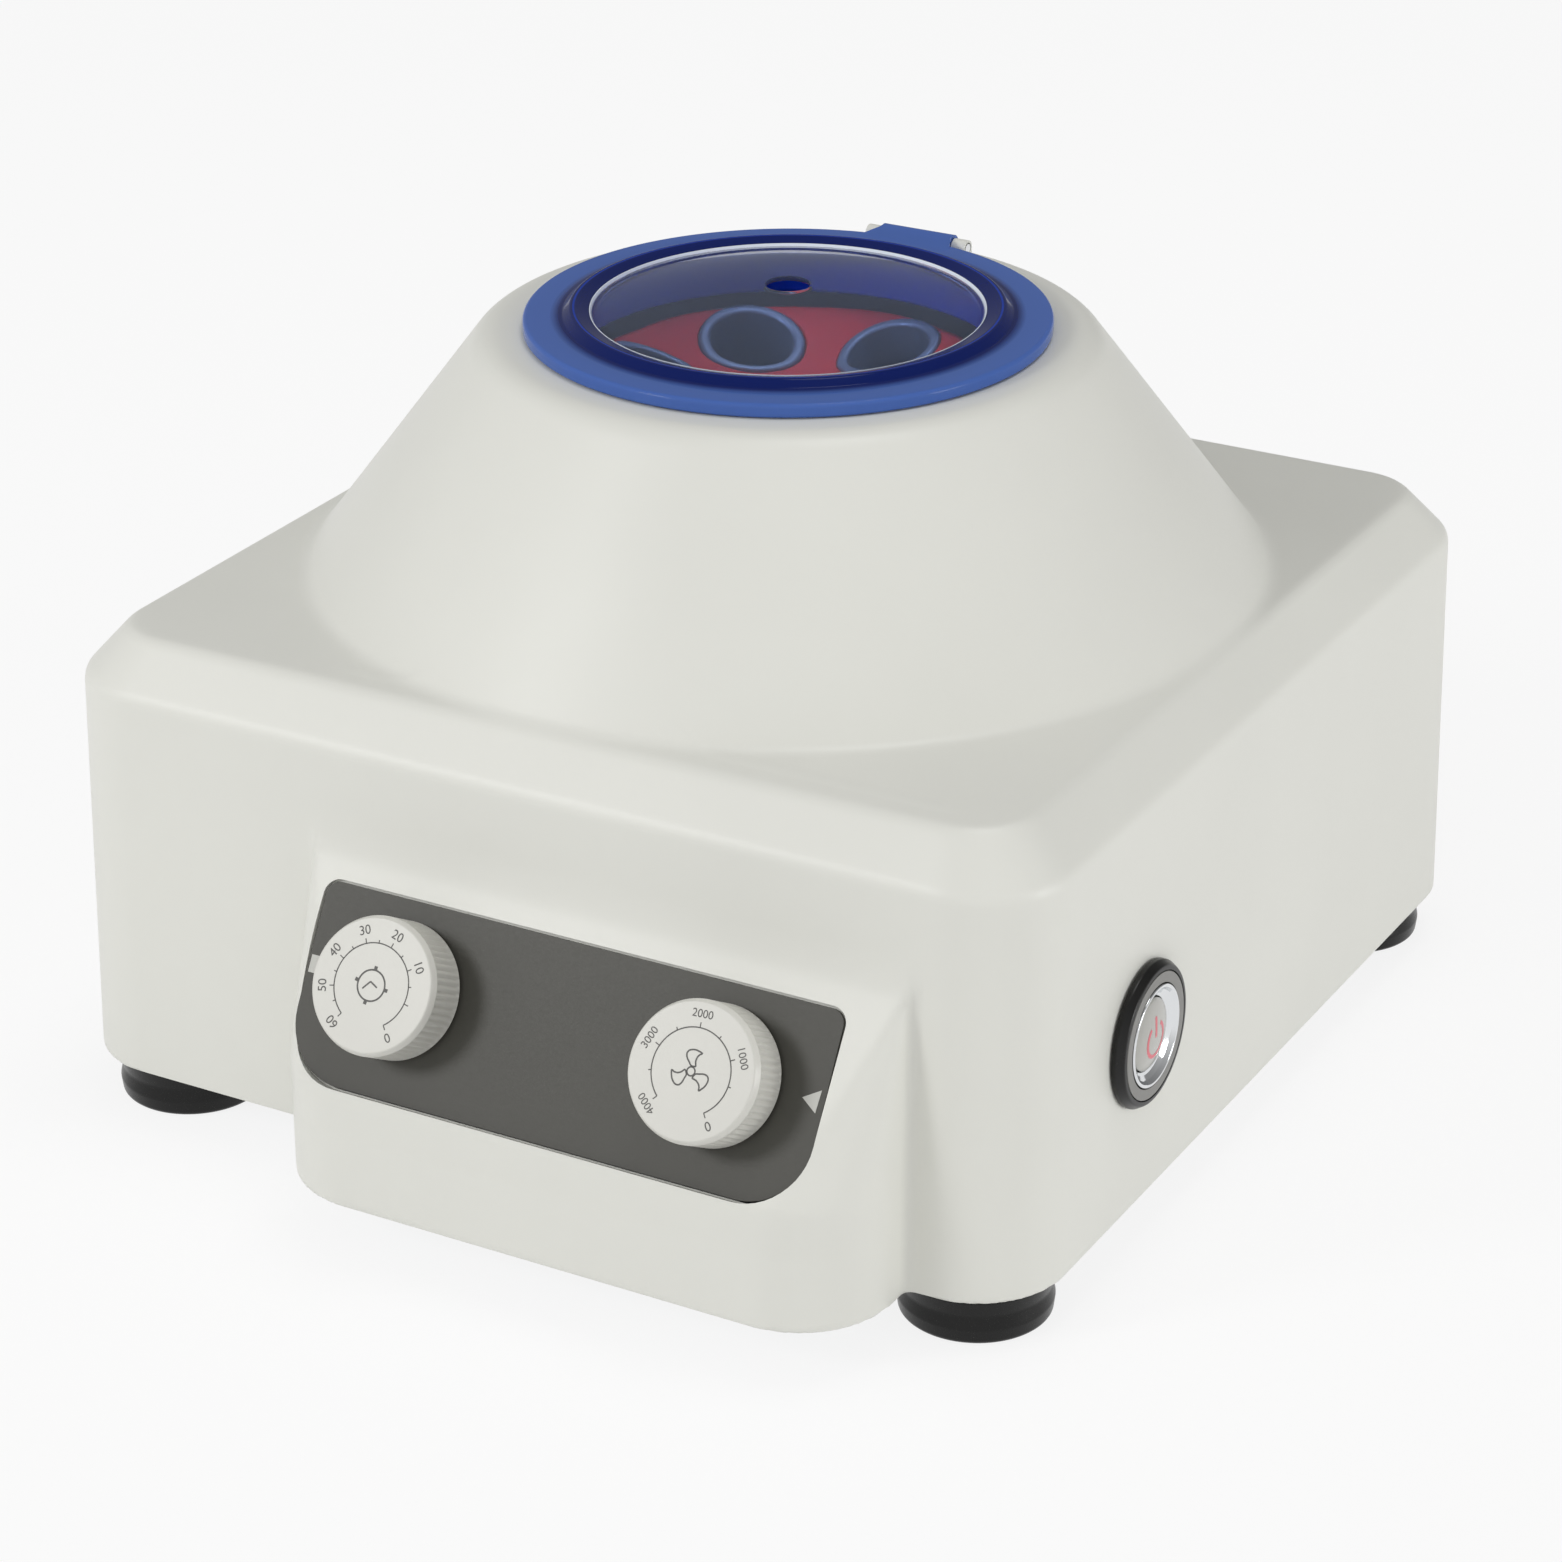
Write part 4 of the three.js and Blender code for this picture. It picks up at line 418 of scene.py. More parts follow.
def prism(outline, bottom, top):
    """A flat outline with a bottom and a top."""
    count = len(outline)
    points = [(x, y, z) for z in (bottom, top) for x, y in outline]
    sides = [(i, (i + 1) % count, (i + 1) % count + count, i + count) for i in range(count)]
    ends = [list(range(count))[::-1], list(range(count, 2 * count))]
    return np.array(points, float), [*ends, *map(list, sides)]


def strip(path, width, bottom, top, closed=False):
    """A line of even width along a path of (x, y) points, as a thin raised print."""
    path = np.array(path, float)
    if closed:
        along = np.roll(path, -1, axis=0) - np.roll(path, 1, axis=0)
    else:
        along = np.gradient(path, axis=0)
    along /= np.linalg.norm(along, axis=1)[:, None]
    side = np.stack([-along[:, 1], along[:, 0]], axis=1) * width / 2
    left, right = path + side, path - side
    edges = ((left, top), (left, bottom), (right, bottom), (right, top))
    rings = np.concatenate([np.insert(p, 2, z, axis=1)[:, None] for p, z in edges], axis=1)
    count = len(path)
    points = rings.reshape(-1, 3)
    faces = []
    for i in range(count if closed else count - 1):
        j = (i + 1) % count
        for k in range(4):
            m = (k + 1) % 4
            faces.append([4 * i + k, 4 * j + k, 4 * j + m, 4 * i + m])
    if not closed:
        faces += [[0, 1, 2, 3], [4 * count - 1, 4 * count - 2, 4 * count - 3, 4 * count - 4]]
    return points, faces


def together(*shapes):
    """Several (points, faces) shapes as one."""
    points, faces, start = [], [], 0
    for co, polygons in shapes:
        points.append(co)
        faces += [[start + i for i in face] for face in polygons]
        start += len(co)
    return np.concatenate(points), faces


def moved(shape, matrix):
    """The shape turned and shifted by a matrix."""
    points, faces = shape
    turn = np.array(matrix)
    return points @ turn[:3, :3].T + turn[:3, 3], faces


def arc(x, y, radius, start, end, steps):
    """Points of an arc, in degrees."""
    angles = np.radians(np.linspace(start, end, steps + 1))
    return np.stack([x + radius * np.cos(angles), y + radius * np.sin(angles)], axis=1)


def box_shape(low, high):
    (left, front, bottom), (right, rear, top) = low, high
    return prism([(left, front), (right, front), (right, rear), (left, rear)], bottom, top)


def drum(radius, bottom, top, sides=48):
    return lathe([(0, bottom, 0), (radius, bottom, 0), (radius, top, 0), (0, top, 0)], sides, 3)


def rectangle(x, y, half_x, half_y, radius, steps):
    """The outline of a rectangle with round corners."""
    corners = [(x + i * half_x, y + j * half_y, radius) for i, j in ((-1, -1), (1, -1), (1, 1), (-1, 1))]
    return rounded(corners, steps)


def at_each(places, shape):
    """A copy of the shape at each (x, y) place."""
    return [moved(shape, Matrix.Translation((x, y, 0))) for x, y in places]


def solid(name, shape):
    """A mesh object in metres in the part's frame, with its faces turned outwards."""
    points, faces = shape
    mesh = bpy.data.meshes.new(name)
    mesh.from_pydata((np.asarray(points) * MM + AXIS).tolist(), [], [list(map(int, f)) for f in faces])
    work = bmesh.new()
    work.from_mesh(mesh)
    bmesh.ops.remove_doubles(work, verts=work.verts, dist=1e-7)
    bmesh.ops.dissolve_degenerate(work, dist=1e-8, edges=work.edges)
    bmesh.ops.recalc_face_normals(work, faces=work.faces)
    if not all(edge.is_manifold for edge in work.edges):
        raise ValueError(f"{name} isn't closed")
    work.to_mesh(mesh)
    work.free()
    made = bpy.data.objects.new(name, mesh)
    bpy.context.scene.collection.objects.link(made)
    return made


def boolean(piece, others, operation="DIFFERENCE"):
    """Joins or cuts a piece with other solids, which are used up."""
    for other in others:
        step = piece.modifiers.new(other.name, "BOOLEAN")
        step.operation = operation
        step.solver = "MANIFOLD"
        step.object = other
    applied(piece)
    for other in others:
        bpy.data.objects.remove(other)


def bevelled(piece, width, angle):
    """Narrow rounded edges, width in millimetres, where faces meet at more than an angle in degrees."""
    step = piece.modifiers.new("edges", "BEVEL")
    step.width = width * MM
    step.segments = 2
    step.limit_method = "ANGLE"
    step.angle_limit = math.radians(angle)
    return step


def applied(piece):
    """The piece's modifiers are made part of its mesh."""
    graph = bpy.context.evaluated_depsgraph_get()
    mesh = bpy.data.meshes.new_from_object(piece.evaluated_get(graph))
    piece.modifiers.clear()
    piece.data = mesh


def dress(piece, material, body, replaces=(), angle=35, bevel=0.0):
    """Smooth shading with sharp edges kept, the material, the body it moves with, and what it replaces."""
    if bevel:
        bevelled(piece, bevel, 40)
        applied(piece)
    piece.data.shade_smooth()
    piece.data.set_sharp_from_angle(angle=math.radians(angle))
    even = piece.modifiers.new("even", "WEIGHTED_NORMAL")
    even.keep_sharp = True
    applied(piece)
    piece.data.materials.clear()
    piece.data.materials.append(MATERIALS[material])
    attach(piece, body)
    if replaces:
        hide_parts(*replaces)


# ------------------------------------------------ housing

def smooth_max(a, b, k):
    """The greater of two fields, with the crease between them rounded over about k."""
    h = np.maximum(k - np.abs(a - b), 0) / k
    return np.maximum(a, b) + h * h * k / 4


def smooth_min(a, b, k):
    """The lesser of two fields, blended in the same way."""
    return -smooth_max(-a, -b, k)


def rounded_box(x, y, half_x, half_y, radius):
    """Distance from an upright rounded rectangle at each height."""
    qx = np.abs(x) - (half_x - radius)
    qy = np.abs(y) - (half_y - radius)
    return np.hypot(np.maximum(qx, 0), np.maximum(qy, 0)) + np.minimum(np.maximum(qx, qy), 0) - radius


def body_field(x, y, z):
    """Distance from the drafted square body, below zero inside, like the fields that follow."""
    rise = (z - BODY_BOTTOM) / (BEVEL_Z - BODY_BOTTOM)
    side = rounded_box(x, y, BODY_HALF_X - DRAFT * rise, BODY_HALF_Y - DRAFT * rise, BODY_CORNER)
    climb = (z - BEVEL_Z) / (BODY_TOP - BEVEL_Z)
    inset = DRAFT + BEVEL_RUN * climb
    corner = np.clip(BODY_CORNER + (TOP_CORNER - BODY_CORNER) * climb, 8, 30)
    slant = math.cos(math.atan2(BEVEL_RUN, BODY_TOP - BEVEL_Z))
    bevel = rounded_box(x, y, BODY_HALF_X - inset, BODY_HALF_Y - inset, corner) * slant
    return smooth_max(smooth_max(side, bevel, BEVEL_BLEND), z - BODY_TOP, EDGE_BLEND)


def cone_slope():
    """How steep the cone's side is, as the tangent from its foot to the round shoulder."""
    run, rise = CONE_BASE - CONE_FLAT, CONE_TOP - CONE_SHOULDER - BODY_TOP
    return math.atan2(rise, run) + math.asin(CONE_SHOULDER / math.hypot(run, rise))


def cone_field(x, y, z):
    slope = cone_slope()
    r = np.hypot(x, y)
    side = (r - CONE_BASE) * math.sin(slope) + (z - BODY_TOP) * math.cos(slope)
    top = z - CONE_TOP
    out, up = r - CONE_FLAT, z - (CONE_TOP - CONE_SHOULDER)
    past = out * math.cos(slope) - up * math.sin(slope)
    shoulder = np.hypot(out, up) - CONE_SHOULDER
    return np.where(out <= 0, np.maximum(top, side), np.where(past >= 0, side, shoulder))


def bump_field(x, y, z):
    """The control bump: upright below, leaning back above, with upright corners that follow its depth."""
    lean = math.tan(LEAN)
    depth = smooth_min(BUMP_DEPTH + 0 * z, (BUMP_TOP - z) * lean, BUMP_FOLD)
    radius = np.maximum(depth * BUMP_CORNER_SHARE, 0.5)
    half = (BUMP_RIGHT - BUMP_LEFT) / 2
    back = -BODY_HALF_Y + 20
    front = -BODY_HALF_Y - depth
    share = np.clip((z - 34) / 12, 0, 1)
    slant = 1 + (math.cos(LEAN) - 1) * share
    qx = np.abs(x - (BUMP_LEFT + BUMP_RIGHT) / 2) - (half - radius)
    qy = (front + radius - y) * slant
    deep = y - back
    outside = np.hypot(np.maximum(qx, 0), np.maximum(qy, 0)) + np.minimum(np.maximum(qx, qy), 0) - radius
    return np.maximum(outside, deep)


def housing_field(x, y, z, bottom=BODY_BOTTOM):
    cone = np.maximum(cone_field(x, y, z), BODY_TOP - 12 - z)
    shape = smooth_min(body_field(x, y, z), cone, CONE_BLEND)
    shape = smooth_min(shape, bump_field(x, y, z), BUMP_BLEND)
    return smooth_max(shape, bottom - z, EDGE_BLEND)


def skin(field, low, high, step):
    """Surface nets: a vertex in each cell that the surface crosses, and a quad round each crossed grid edge.

    The vertices are then moved onto the surface itself and evened out along it.
    """
    axes = [np.arange(lo, hi + step, step) for lo, hi in zip(low, high)]
    value = field(*np.meshgrid(*axes, indexing="ij", sparse=True))
    inside = value < 0
    corners = [(i, j, k) for i in (0, 1) for j in (0, 1) for k in (0, 1)]
    shape = tuple(n - 1 for n in value.shape)

    def corner(grid, at):
        return grid[tuple(slice(a, a + n) for a, n in zip(at, shape))]

    count = sum(corner(inside, at).astype(np.int8) for at in corners)
    cells = np.argwhere((count > 0) & (count < 8))
    number = np.full(shape, -1, np.int64)
    number[tuple(cells.T)] = np.arange(len(cells))
    at_corner = np.stack([value[tuple((cells + at).T)] for at in corners], axis=1)
    total, hits = np.zeros((len(cells), 3)), np.zeros(len(cells))
    for m, a in enumerate(corners):
        for n, b in enumerate(corners):
            if n > m and sum(abs(p - q) for p, q in zip(a, b)) == 1:
                va, vb = at_corner[:, m], at_corner[:, n]
                crossed = (va < 0) != (vb < 0)
                share = np.where(crossed, va / np.where(crossed, va - vb, 1), 0)[:, None]
                total += np.where(crossed[:, None], np.array(a) + share * (np.array(b) - np.array(a)), 0)
                hits += crossed
    points = (cells + total / hits[:, None]) * step + [axis[0] for axis in axes]

    quads = []
    for axis in range(3):
        one, two = [(1, 2), (2, 0), (0, 1)][axis]
        first = np.take(inside, range(value.shape[axis] - 1), axis=axis)
        second = np.take(inside, range(1, value.shape[axis]), axis=axis)
        edges = np.argwhere(first != second)
        edges = edges[(edges[:, one] > 0) & (edges[:, two] > 0)]
        step_one, step_two = np.eye(3, dtype=int)[one], np.eye(3, dtype=int)[two]
        ring = [edges - step_one - step_two, edges - step_two, edges, edges - step_one]
        quad = np.stack([number[tuple(cell.T)] for cell in ring], axis=1)
        outwards = first[tuple(edges.T)]
        quads.append(np.where(outwards[:, None], quad, quad[:, ::-1]))
    quads = np.concatenate(quads)

    def onto(points):
        small = 0.02
        for _ in range(2):
            here = field(*points.T)
            rises = [field(*(points + e).T) - field(*(points - e).T) for e in np.eye(3) * small]
            slope = np.stack(rises, axis=1) / (2 * small)
            points = points - slope * (here / np.maximum((slope**2).sum(axis=1), 0.05))[:, None]
        return points

    points = onto(points)
    for _ in range(3):
        around, near = np.zeros_like(points), np.zeros(len(points))
        for k in range(4):
            a, b = quads[:, k], quads[:, (k + 1) % 4]
            np.add.at(around, a, points[b])
            np.add.at(around, b, points[a])
            np.add.at(near, a, 1)
            np.add.at(near, b, 1)
        points = onto(points + 0.5 * (around / near[:, None] - points))
    return points, quads.tolist()


def on_face(right, up, out, place):
    """Places what is drawn flat, with +Z outwards, on a face with these directions and this origin."""
    return Matrix([(*right, 0), (*up, 0), (*out, 0), (*place, 1)]).transposed()


UP_FACE = (0, math.sin(LEAN), math.cos(LEAN))
OUT_OF_FACE = (0, -math.cos(LEAN), math.sin(LEAN))
FACE = on_face((1, 0, 0), UP_FACE, OUT_OF_FACE, (0, -BODY_HALF_Y, BUMP_TOP))
SWITCH = on_face((0, 1, 0), (0, 0, 1), (1, 0, 0), (138.84, -73.6, 60.6))
INLET = on_face((-1, 0, 0), (0, 0, 1), (0, 1, 0), (-70, 139.06, 52))


def face_outline(margin):
    """The control plate's outline with its large lower corners, wider by a margin."""
    left, right, top, bottom = -49.8 - margin, 95.6 + margin, -7.6 + margin, -57.2 - margin
    small, large = 4 + margin, 17 + margin
    lower = [(left, bottom, large), (right, bottom, large)]
    return rounded([*lower, (right, top, small), (left, top, small)], 12)


def knob_place(name):
    """On the leaning face, at the middle of a dial."""
    return FACE @ Matrix.Translation((KNOB_X[name], -KNOB_DOWN, 0))


def lug(x):
    """A hinge lug: a cheek with a round top that stands on the cone's flat."""
    foot = [(HINGE_Y - LUG_RADIUS, LUG_FOOT), (HINGE_Y + LUG_RADIUS, LUG_FOOT)]
    outline = [*foot, *arc(HINGE_Y, HINGE_Z, LUG_RADIUS, 0, 180, 16)]
    points, faces = prism(outline, x - LUG_HALF, x + LUG_HALF)
    return points[:, [2, 0, 1]], faces


def pin_bore(half):
    """What the hinge pin's hole takes away, half its length to each side."""
    line = Matrix.Translation((0, HINGE_Y, HINGE_Z)) @ Matrix.Rotation(math.pi / 2, 4, "Y")
    return moved(drum(PIN_HOLE, -half, half, 24), line)


def housing():
    """The moulded shell with its cone: one skin, hollowed, with posts, lugs and openings."""
    step, sides = 1.5, 160
    outer = solid("housing_shell", skin(housing_field, (-143, -175.5, 11), (143, 143, 198), step))

    def hollow_field(x, y, z):
        return housing_field(x, y, z, bottom=BODY_BOTTOM - 8) + WALL

    boolean(outer, [solid("hollow", skin(hollow_field, (-140, -173, 2), (140, 140, 196), 2 * step))])

    ring = lathe([(58, NECK_BOTTOM, 0), (NECK, NECK_BOTTOM, 1), (NECK, 193.6, 0), (58, 193.6, 0)], sides, 3)
    posts = at_each(FOOT_PLACES, drum(POST_RADIUS, POST_BOTTOM, POST_TOP, 24))
    bosses = at_each(BOSS_PLACES, drum(BOSS_RADIUS, BOSS_BOTTOM, POST_TOP, 24))
    extra = [ring, lug(LUG_X), lug(-LUG_X), *posts, *bosses]
    boolean(outer, [solid(f"extra_{i}", shape) for i, shape in enumerate(extra)], "UNION")

    mouth = [
        (0, 180, 0),
        (MOUTH, 180, 0),
        (MOUTH, 194.6, 0.5),
        (MOUTH + 0.9, 195.5, 0),
        (MOUTH + 0.9, 199, 0),
        (0, 199, 0),
    ]
    cuts = [
        lathe(mouth, sides, 3),
        box_shape((-10.9, 68.5, 193.4), (10.9, 78.9, 201)),
        moved(prism(face_outline(0.3), -0.8, 30), FACE),
        *(moved(drum(BUSHING_HOLE, -7, 3), knob_place(name)) for name in KNOB_X),
        moved(drum(SWITCH_HOLE, -8, 4, 64), SWITCH),
        moved(box_shape((-14.3, -10.8, -8), (14.3, 10.8, 4)), INLET),
        *(moved(hole, INLET) for hole in at_each(INLET_SCREWS, drum(INLET_SCREW_HOLE, -8, 4, 16))),
        *at_each(FOOT_PLACES, drum(FOOT_SCREW_HOLE, 10, 44.5, 16)),
        pin_bore(18),
    ]
    boolean(outer, [solid(f"cut_{i}", shape) for i, shape in enumerate(cuts)])
    dress(outer, "white_shell", "housing", ["housing", "chamber_cone"], angle=38)


# ------------------------------------------------ lid

def lid_moulding():
    """The flange, the skirt, the raised step round the window and the hinge's ear."""
    top, under = LID_TOP, LID_TOP - LID_FLANGE
    rim = [
        (SKIRT_INNER, SKIRT_BOTTOM, 1.2),
        (SKIRT_OUTER, SKIRT_BOTTOM, 1.2),
        (SKIRT_OUTER, under, 0.6),
        (LID_RADIUS, under, 0.8),
        (LID_RADIUS, top, 1.1),
        (60.3, top, 0.5),
        (57.8, top + 0.4, 0.8),
        (55.7, top + 2.3, 1.2),
        (54.4, top + 2.2, 0.8),
        (51.3, top + 1.3, 0.2),
        (50.9, top + 1.2, 0),
        (50.9, top + 0.3, 0),
        (WINDOW_SEAT, top + 0.3, 0),
        (WINDOW_SEAT, top - 0.9, 0),
        (SKIRT_INNER, top - 2.6, 1.2),
    ]
    made = solid("lid_moulding", lathe(rim, LID_SIDES, 5))

    knuckle = arc(HINGE_Y, HINGE_Z, KNUCKLE_RADIUS, 98, -90, 20)
    side_view = [(62, under), (62, top), (64, top), *knuckle, (68.4, under)]
    points, faces = prism(side_view, -16, 16)
    ear = solid("ear", (points[:, [2, 0, 1]], faces))
    tongue = [
        (-15, 60, 0),
        (15, 60, 0),
        (EAR_HALF, 70.5, 3),
        (EAR_HALF, 77, 0),
        (-EAR_HALF, 77, 0),
        (-EAR_HALF, 70.5, 3),
    ]
    boolean(ear, [solid("tongue", prism(rounded(tongue), 188, 206))], "INTERSECT")
    boolean(made, [ear], "UNION")
    boolean(made, [solid("pin_hole", pin_bore(14))])
    dress(made, "blue_rim", "lid", ["lid"], angle=32)


def lid_window():
    """The shallow clear dome with its vent hole, and a pale bead at its edge that is a painted highlight on
    the step's rim.
    """
    edge = LID_TOP + WINDOW_LIFT
    sphere = (WINDOW_RADIUS**2 + WINDOW_RISE**2) / (2 * WINDOW_RISE)

    def dome(r, drop=0.0):
        return edge + math.sqrt(sphere**2 - r * r) - (sphere - WINDOW_RISE) - drop

    def thickness(r):
        return WINDOW_THICKNESS + 0.4 * min(max((r - 46) / 4, 0), 1)

    outside = [(r, dome(r), 0) for r in np.linspace(WINDOW_RADIUS - 0.6, 7.0, 18)]
    inside = [(r, dome(r, thickness(r)), 0) for r in np.linspace(7.0, WINDOW_RADIUS - 0.6, 18)]
    profile = [
        (WINDOW_RADIUS, dome(WINDOW_RADIUS, thickness(WINDOW_RADIUS)), 0.3),
        (WINDOW_RADIUS, edge, 0.4),
        *outside,
        (VENT_RADIUS, dome(VENT_RADIUS), 0.5),
        (VENT_RADIUS, dome(VENT_RADIUS, WINDOW_THICKNESS), 0.5),
        *inside,
    ]
    dress(solid("lid_window", lathe(profile, LID_SIDES, 4)), "blue_lid", "lid", angle=32)

    # A thin pale bead under the window's edge, a painted highlight where the step's rim catches the light
    highlight_bead_outline = [
        (WINDOW_SEAT, LID_TOP + 0.35, 0),
        (50.85, LID_TOP + 0.35, 0),
        (50.85, LID_TOP + 1.3, 0),
        (50.65, LID_TOP + 1.3, 0),
        (WINDOW_SEAT, edge, 0),
    ]
    made = solid("lid_painted_highlight_bead", lathe(highlight_bead_outline, LID_SIDES))
    dress(made, "painted_highlight_bead", "lid", angle=32)


# ------------------------------------------------ rotor

def tube_matrix(i):
    """At a tube's mouth, with +Z out of the tube."""
    turn = Matrix.Rotation(-math.radians(TUBE_FIRST + 360 / TUBES * i), 4, "Z")
    place = Matrix.Translation((0, TUBE_MOUTH_RADIUS, TUBE_MOUTH_Z))
    return turn @ place @ Matrix.Rotation(TUBE_LEAN, 4, "X")


def rotor_top(r):
    """Height of the rotor's sloping top at a radius."""
    return ROTOR_RIM_Z + (r - ROTOR_RIM) * math.tan(TUBE_LEAN)


def rotor_point(out, down):
    """Outwards from the rotor's rim along its sloping top, then down across the plate."""
    across, along = math.cos(TUBE_LEAN), math.sin(TUBE_LEAN)
    return ROTOR_RIM + out * across + down * along, ROTOR_RIM_Z + out * along - down * across


def rotor():
    """A conical plate on a hub, with six leaning bores and a rim that draws in between them."""
    hub_under = rotor_top(HUB_RADIUS) - ROTOR_PLATE / math.cos(TUBE_LEAN)
    profile = [
        (SHAFT_HOLE, ROTOR_BOTTOM, 0.5),
        (HUB_RADIUS, ROTOR_BOTTOM, 1),
        (HUB_RADIUS, hub_under, 4),
        (*rotor_point(0, ROTOR_PLATE), 1.5),
        (*rotor_point(ROTOR_EDGE, ROTOR_PLATE - ROTOR_EDGE), 1.5),
        (*rotor_point(ROTOR_EDGE, ROTOR_EDGE), 1.6),
        (*rotor_point(0, 0), 1.6),
        (HUB_TOP, rotor_top(HUB_TOP), 3),
        (SHAFT_HOLE, rotor_top(HUB_TOP), 0.5),
    ]

    def lobed(outline, angles):
        radius = outline[:, :1]
        near_rim = np.clip((radius - LOBE_START) / LOBE_FADE, 0, 1)
        inwards = 0.5 - 0.5 * np.cos(TUBES * (angles - LOBE_FIRST))
        return radius - near_rim * LOBE_DEPTH * inwards[None, :]

    cone = solid("rotor_cone", lathe(profile, 180, 5, lobed))
    bore = [
        (0, -96, 0),
        (12.9, -96, 0),
        (12.9, -3.3, 0),
        (14.5, -3.3, 0.6),
        (14.5, -1.0, 0.4),
        (15.6, 0.6, 0),
        (15.6, 16, 0),
        (0, 16, 0),
    ]
    boolean(cone, [solid(f"bore_{i}", moved(lathe(bore, 72, 3), tube_matrix(i))) for i in range(TUBES)])
    dress(cone, "red_rotor", "rotor", ["rotor"], angle=32)


def tube_sleeves():
    """Metal sleeves with a collar, a bore for the tube and a closed floor."""
    sleeve = [
        (0, -92, 0),
        (7.6, -92, 2.5),
        (12.6, -87, 2.5),
        (12.6, -3, 0.3),
        (14.2, -3, 0.9),
        (14.2, 0, 1.2),
        (11.1, 0, 1.0),
        (11.1, -85.5, 2.5),
        (6.8, -90.5, 1.5),
        (0, -90.5, 0),
    ]
    for i in range(TUBES):
        made = solid(f"tube_sleeve_{i + 1}", moved(lathe(sleeve, 72, 4), tube_matrix(i)))
        dress(made, "satin_steel", "rotor", [f"sleeve_{i + 1}"])


def rotor_nut():
    """A hexagon nut with turned corners and a domed top, on the end of the shaft."""
    bottom = NUT_BOTTOM
    made = solid("hub_nut", prism(arc(0, 0, NUT_RADIUS, 0, 300, 5), bottom, bottom + 3.6))
    turned = [
        (0, bottom - 1, 0),
        (8.9, bottom - 1, 0),
        (10.6, bottom + 0.6, 0),
        (10.6, bottom + 2.6, 0),
        (8.7, bottom + 4.2, 0),
        (0, bottom + 4.2, 0),
    ]
    dome = [
        (0, bottom + 2, 0),
        (8.3, bottom + 2, 0),
        (8.3, bottom + 4.6, 1.6),
        (4.8, bottom + 6.4, 1.6),
        (0, bottom + 6.4, 0),
    ]
    boolean(made, [solid("turned", lathe(turned, 72, 3))], "INTERSECT")
    boolean(made, [solid("dome", lathe(dome, 72, 5))], "UNION")
    boolean(made, [solid("thread_bore", drum(SHAFT_HOLE, bottom - 2, SHAFT_TOP, 32))])
    dress(made, "bright_steel", "rotor", ["rotor_nut"], bevel=0.25)


# ------------------------------------------------ control face

def knob(name):
    """A ribbed knob over its skirt, with a flat face and a hole for the shaft."""
    low = KNOB_BASE + 0.4

    def ribbed(outline, angles):
        radius, z = outline[:, :1], outline[:, 1:]
        fade = np.clip((z - low) / 0.4, 0, 1) * np.clip((KNOB_RIDGE - z) / 0.7, 0, 1)
        groove = 0.5 - 0.5 * np.cos(angles * KNOB_RIBS)[None, :]
        return radius - fade * (radius > KNOB_RADIUS - 1.6) * RIB_DEPTH * groove**1.2

    profile = [
        (0, KNOB_INSIDE, 0),
        (KNOB_RADIUS - 2.2, KNOB_INSIDE, 0.6),
        (KNOB_RADIUS - 2.2, KNOB_BASE, 0),
        (KNOB_RADIUS - 0.5, KNOB_BASE, 0),
        *((KNOB_RADIUS, z, 0) for z in np.linspace(low, KNOB_RIDGE - 0.1, 9)),
        (KNOB_RADIUS, KNOB_RIDGE + 0.2, 0.3),
        (KNOB_RADIUS - 0.75, KNOB_FACE, 0.5),
        (0, KNOB_FACE, 0),
    ]
    place = knob_place(name)
    made = solid(f"{name}_dial", moved(lathe(profile, KNOB_RIBS * 8, 4, ribbed), place))
    boolean(made, [solid("stem_hole", moved(drum(STEM_HOLE, 0, 6.7, 32), place))])
    dress(made, "white_knob", f"{name}_knob", [f"{name}_knob"], angle=40)


def lettering(text, size, matrix, bottom, height):
    """Digits of the built-in typeface as a thin raised print, centred on the matrix's origin."""
    curve = bpy.data.curves.new("digits", "FONT")
    curve.body, curve.size = text, size
    curve.align_x, curve.align_y = "CENTER", "CENTER"
    curve.extrude = height / 2
    holder = bpy.data.objects.new("digits", curve)
    bpy.context.scene.collection.objects.link(holder)
    mesh = bpy.data.meshes.new_from_object(holder.evaluated_get(bpy.context.evaluated_depsgraph_get()))
    points = np.array([v.co for v in mesh.vertices]).reshape(-1, 3)
    faces = [list(p.vertices) for p in mesh.polygons]
    bpy.data.objects.remove(holder)
    return moved((points, faces), matrix @ Matrix.Translation((0, 0, bottom + height / 2)))


def spoke(angle, inner, outer, width, bottom, top):
    """A straight printed line outwards, at an angle in degrees."""
    c, s = math.cos(math.radians(angle)), math.sin(math.radians(angle))
    return strip([(inner * c, inner * s), (outer * c, outer * s)], width, bottom, top)


def dial(name, numbers, long_ticks, short_ticks, icon):
    """The printed scale of a knob: an arc, ticks, numbers that read outwards and an icon."""
    bottom, height = KNOB_FACE - 0.03, 0.07
    top = bottom + height
    angles = [angle for _, angle in numbers]
    parts = [strip(arc(0, 0, DIAL_RING, min(angles), max(angles), 90), 0.3, bottom, top)]
    for length, ticks in ((1.25, long_ticks), (0.75, short_ticks)):
        parts += [spoke(angle, DIAL_RING, DIAL_RING + length, 0.26, bottom, top) for angle in ticks]
    first = Matrix.Translation((DIAL_RING + NUMBERS_OUT, 0, 0)) @ Matrix.Rotation(-math.pi / 2, 4, "Z")
    for text, angle in numbers:
        place = Matrix.Rotation(math.radians(angle), 4, "Z") @ first
        parts.append(lettering(text, 3.3 if len(text) < 3 else 2.8, place, bottom, height))
    parts += icon(bottom, top)
    made = solid(f"{name}_dial_print", moved(together(*parts), knob_place(name)))
    dress(made, "dial_print", f"{name}_knob")


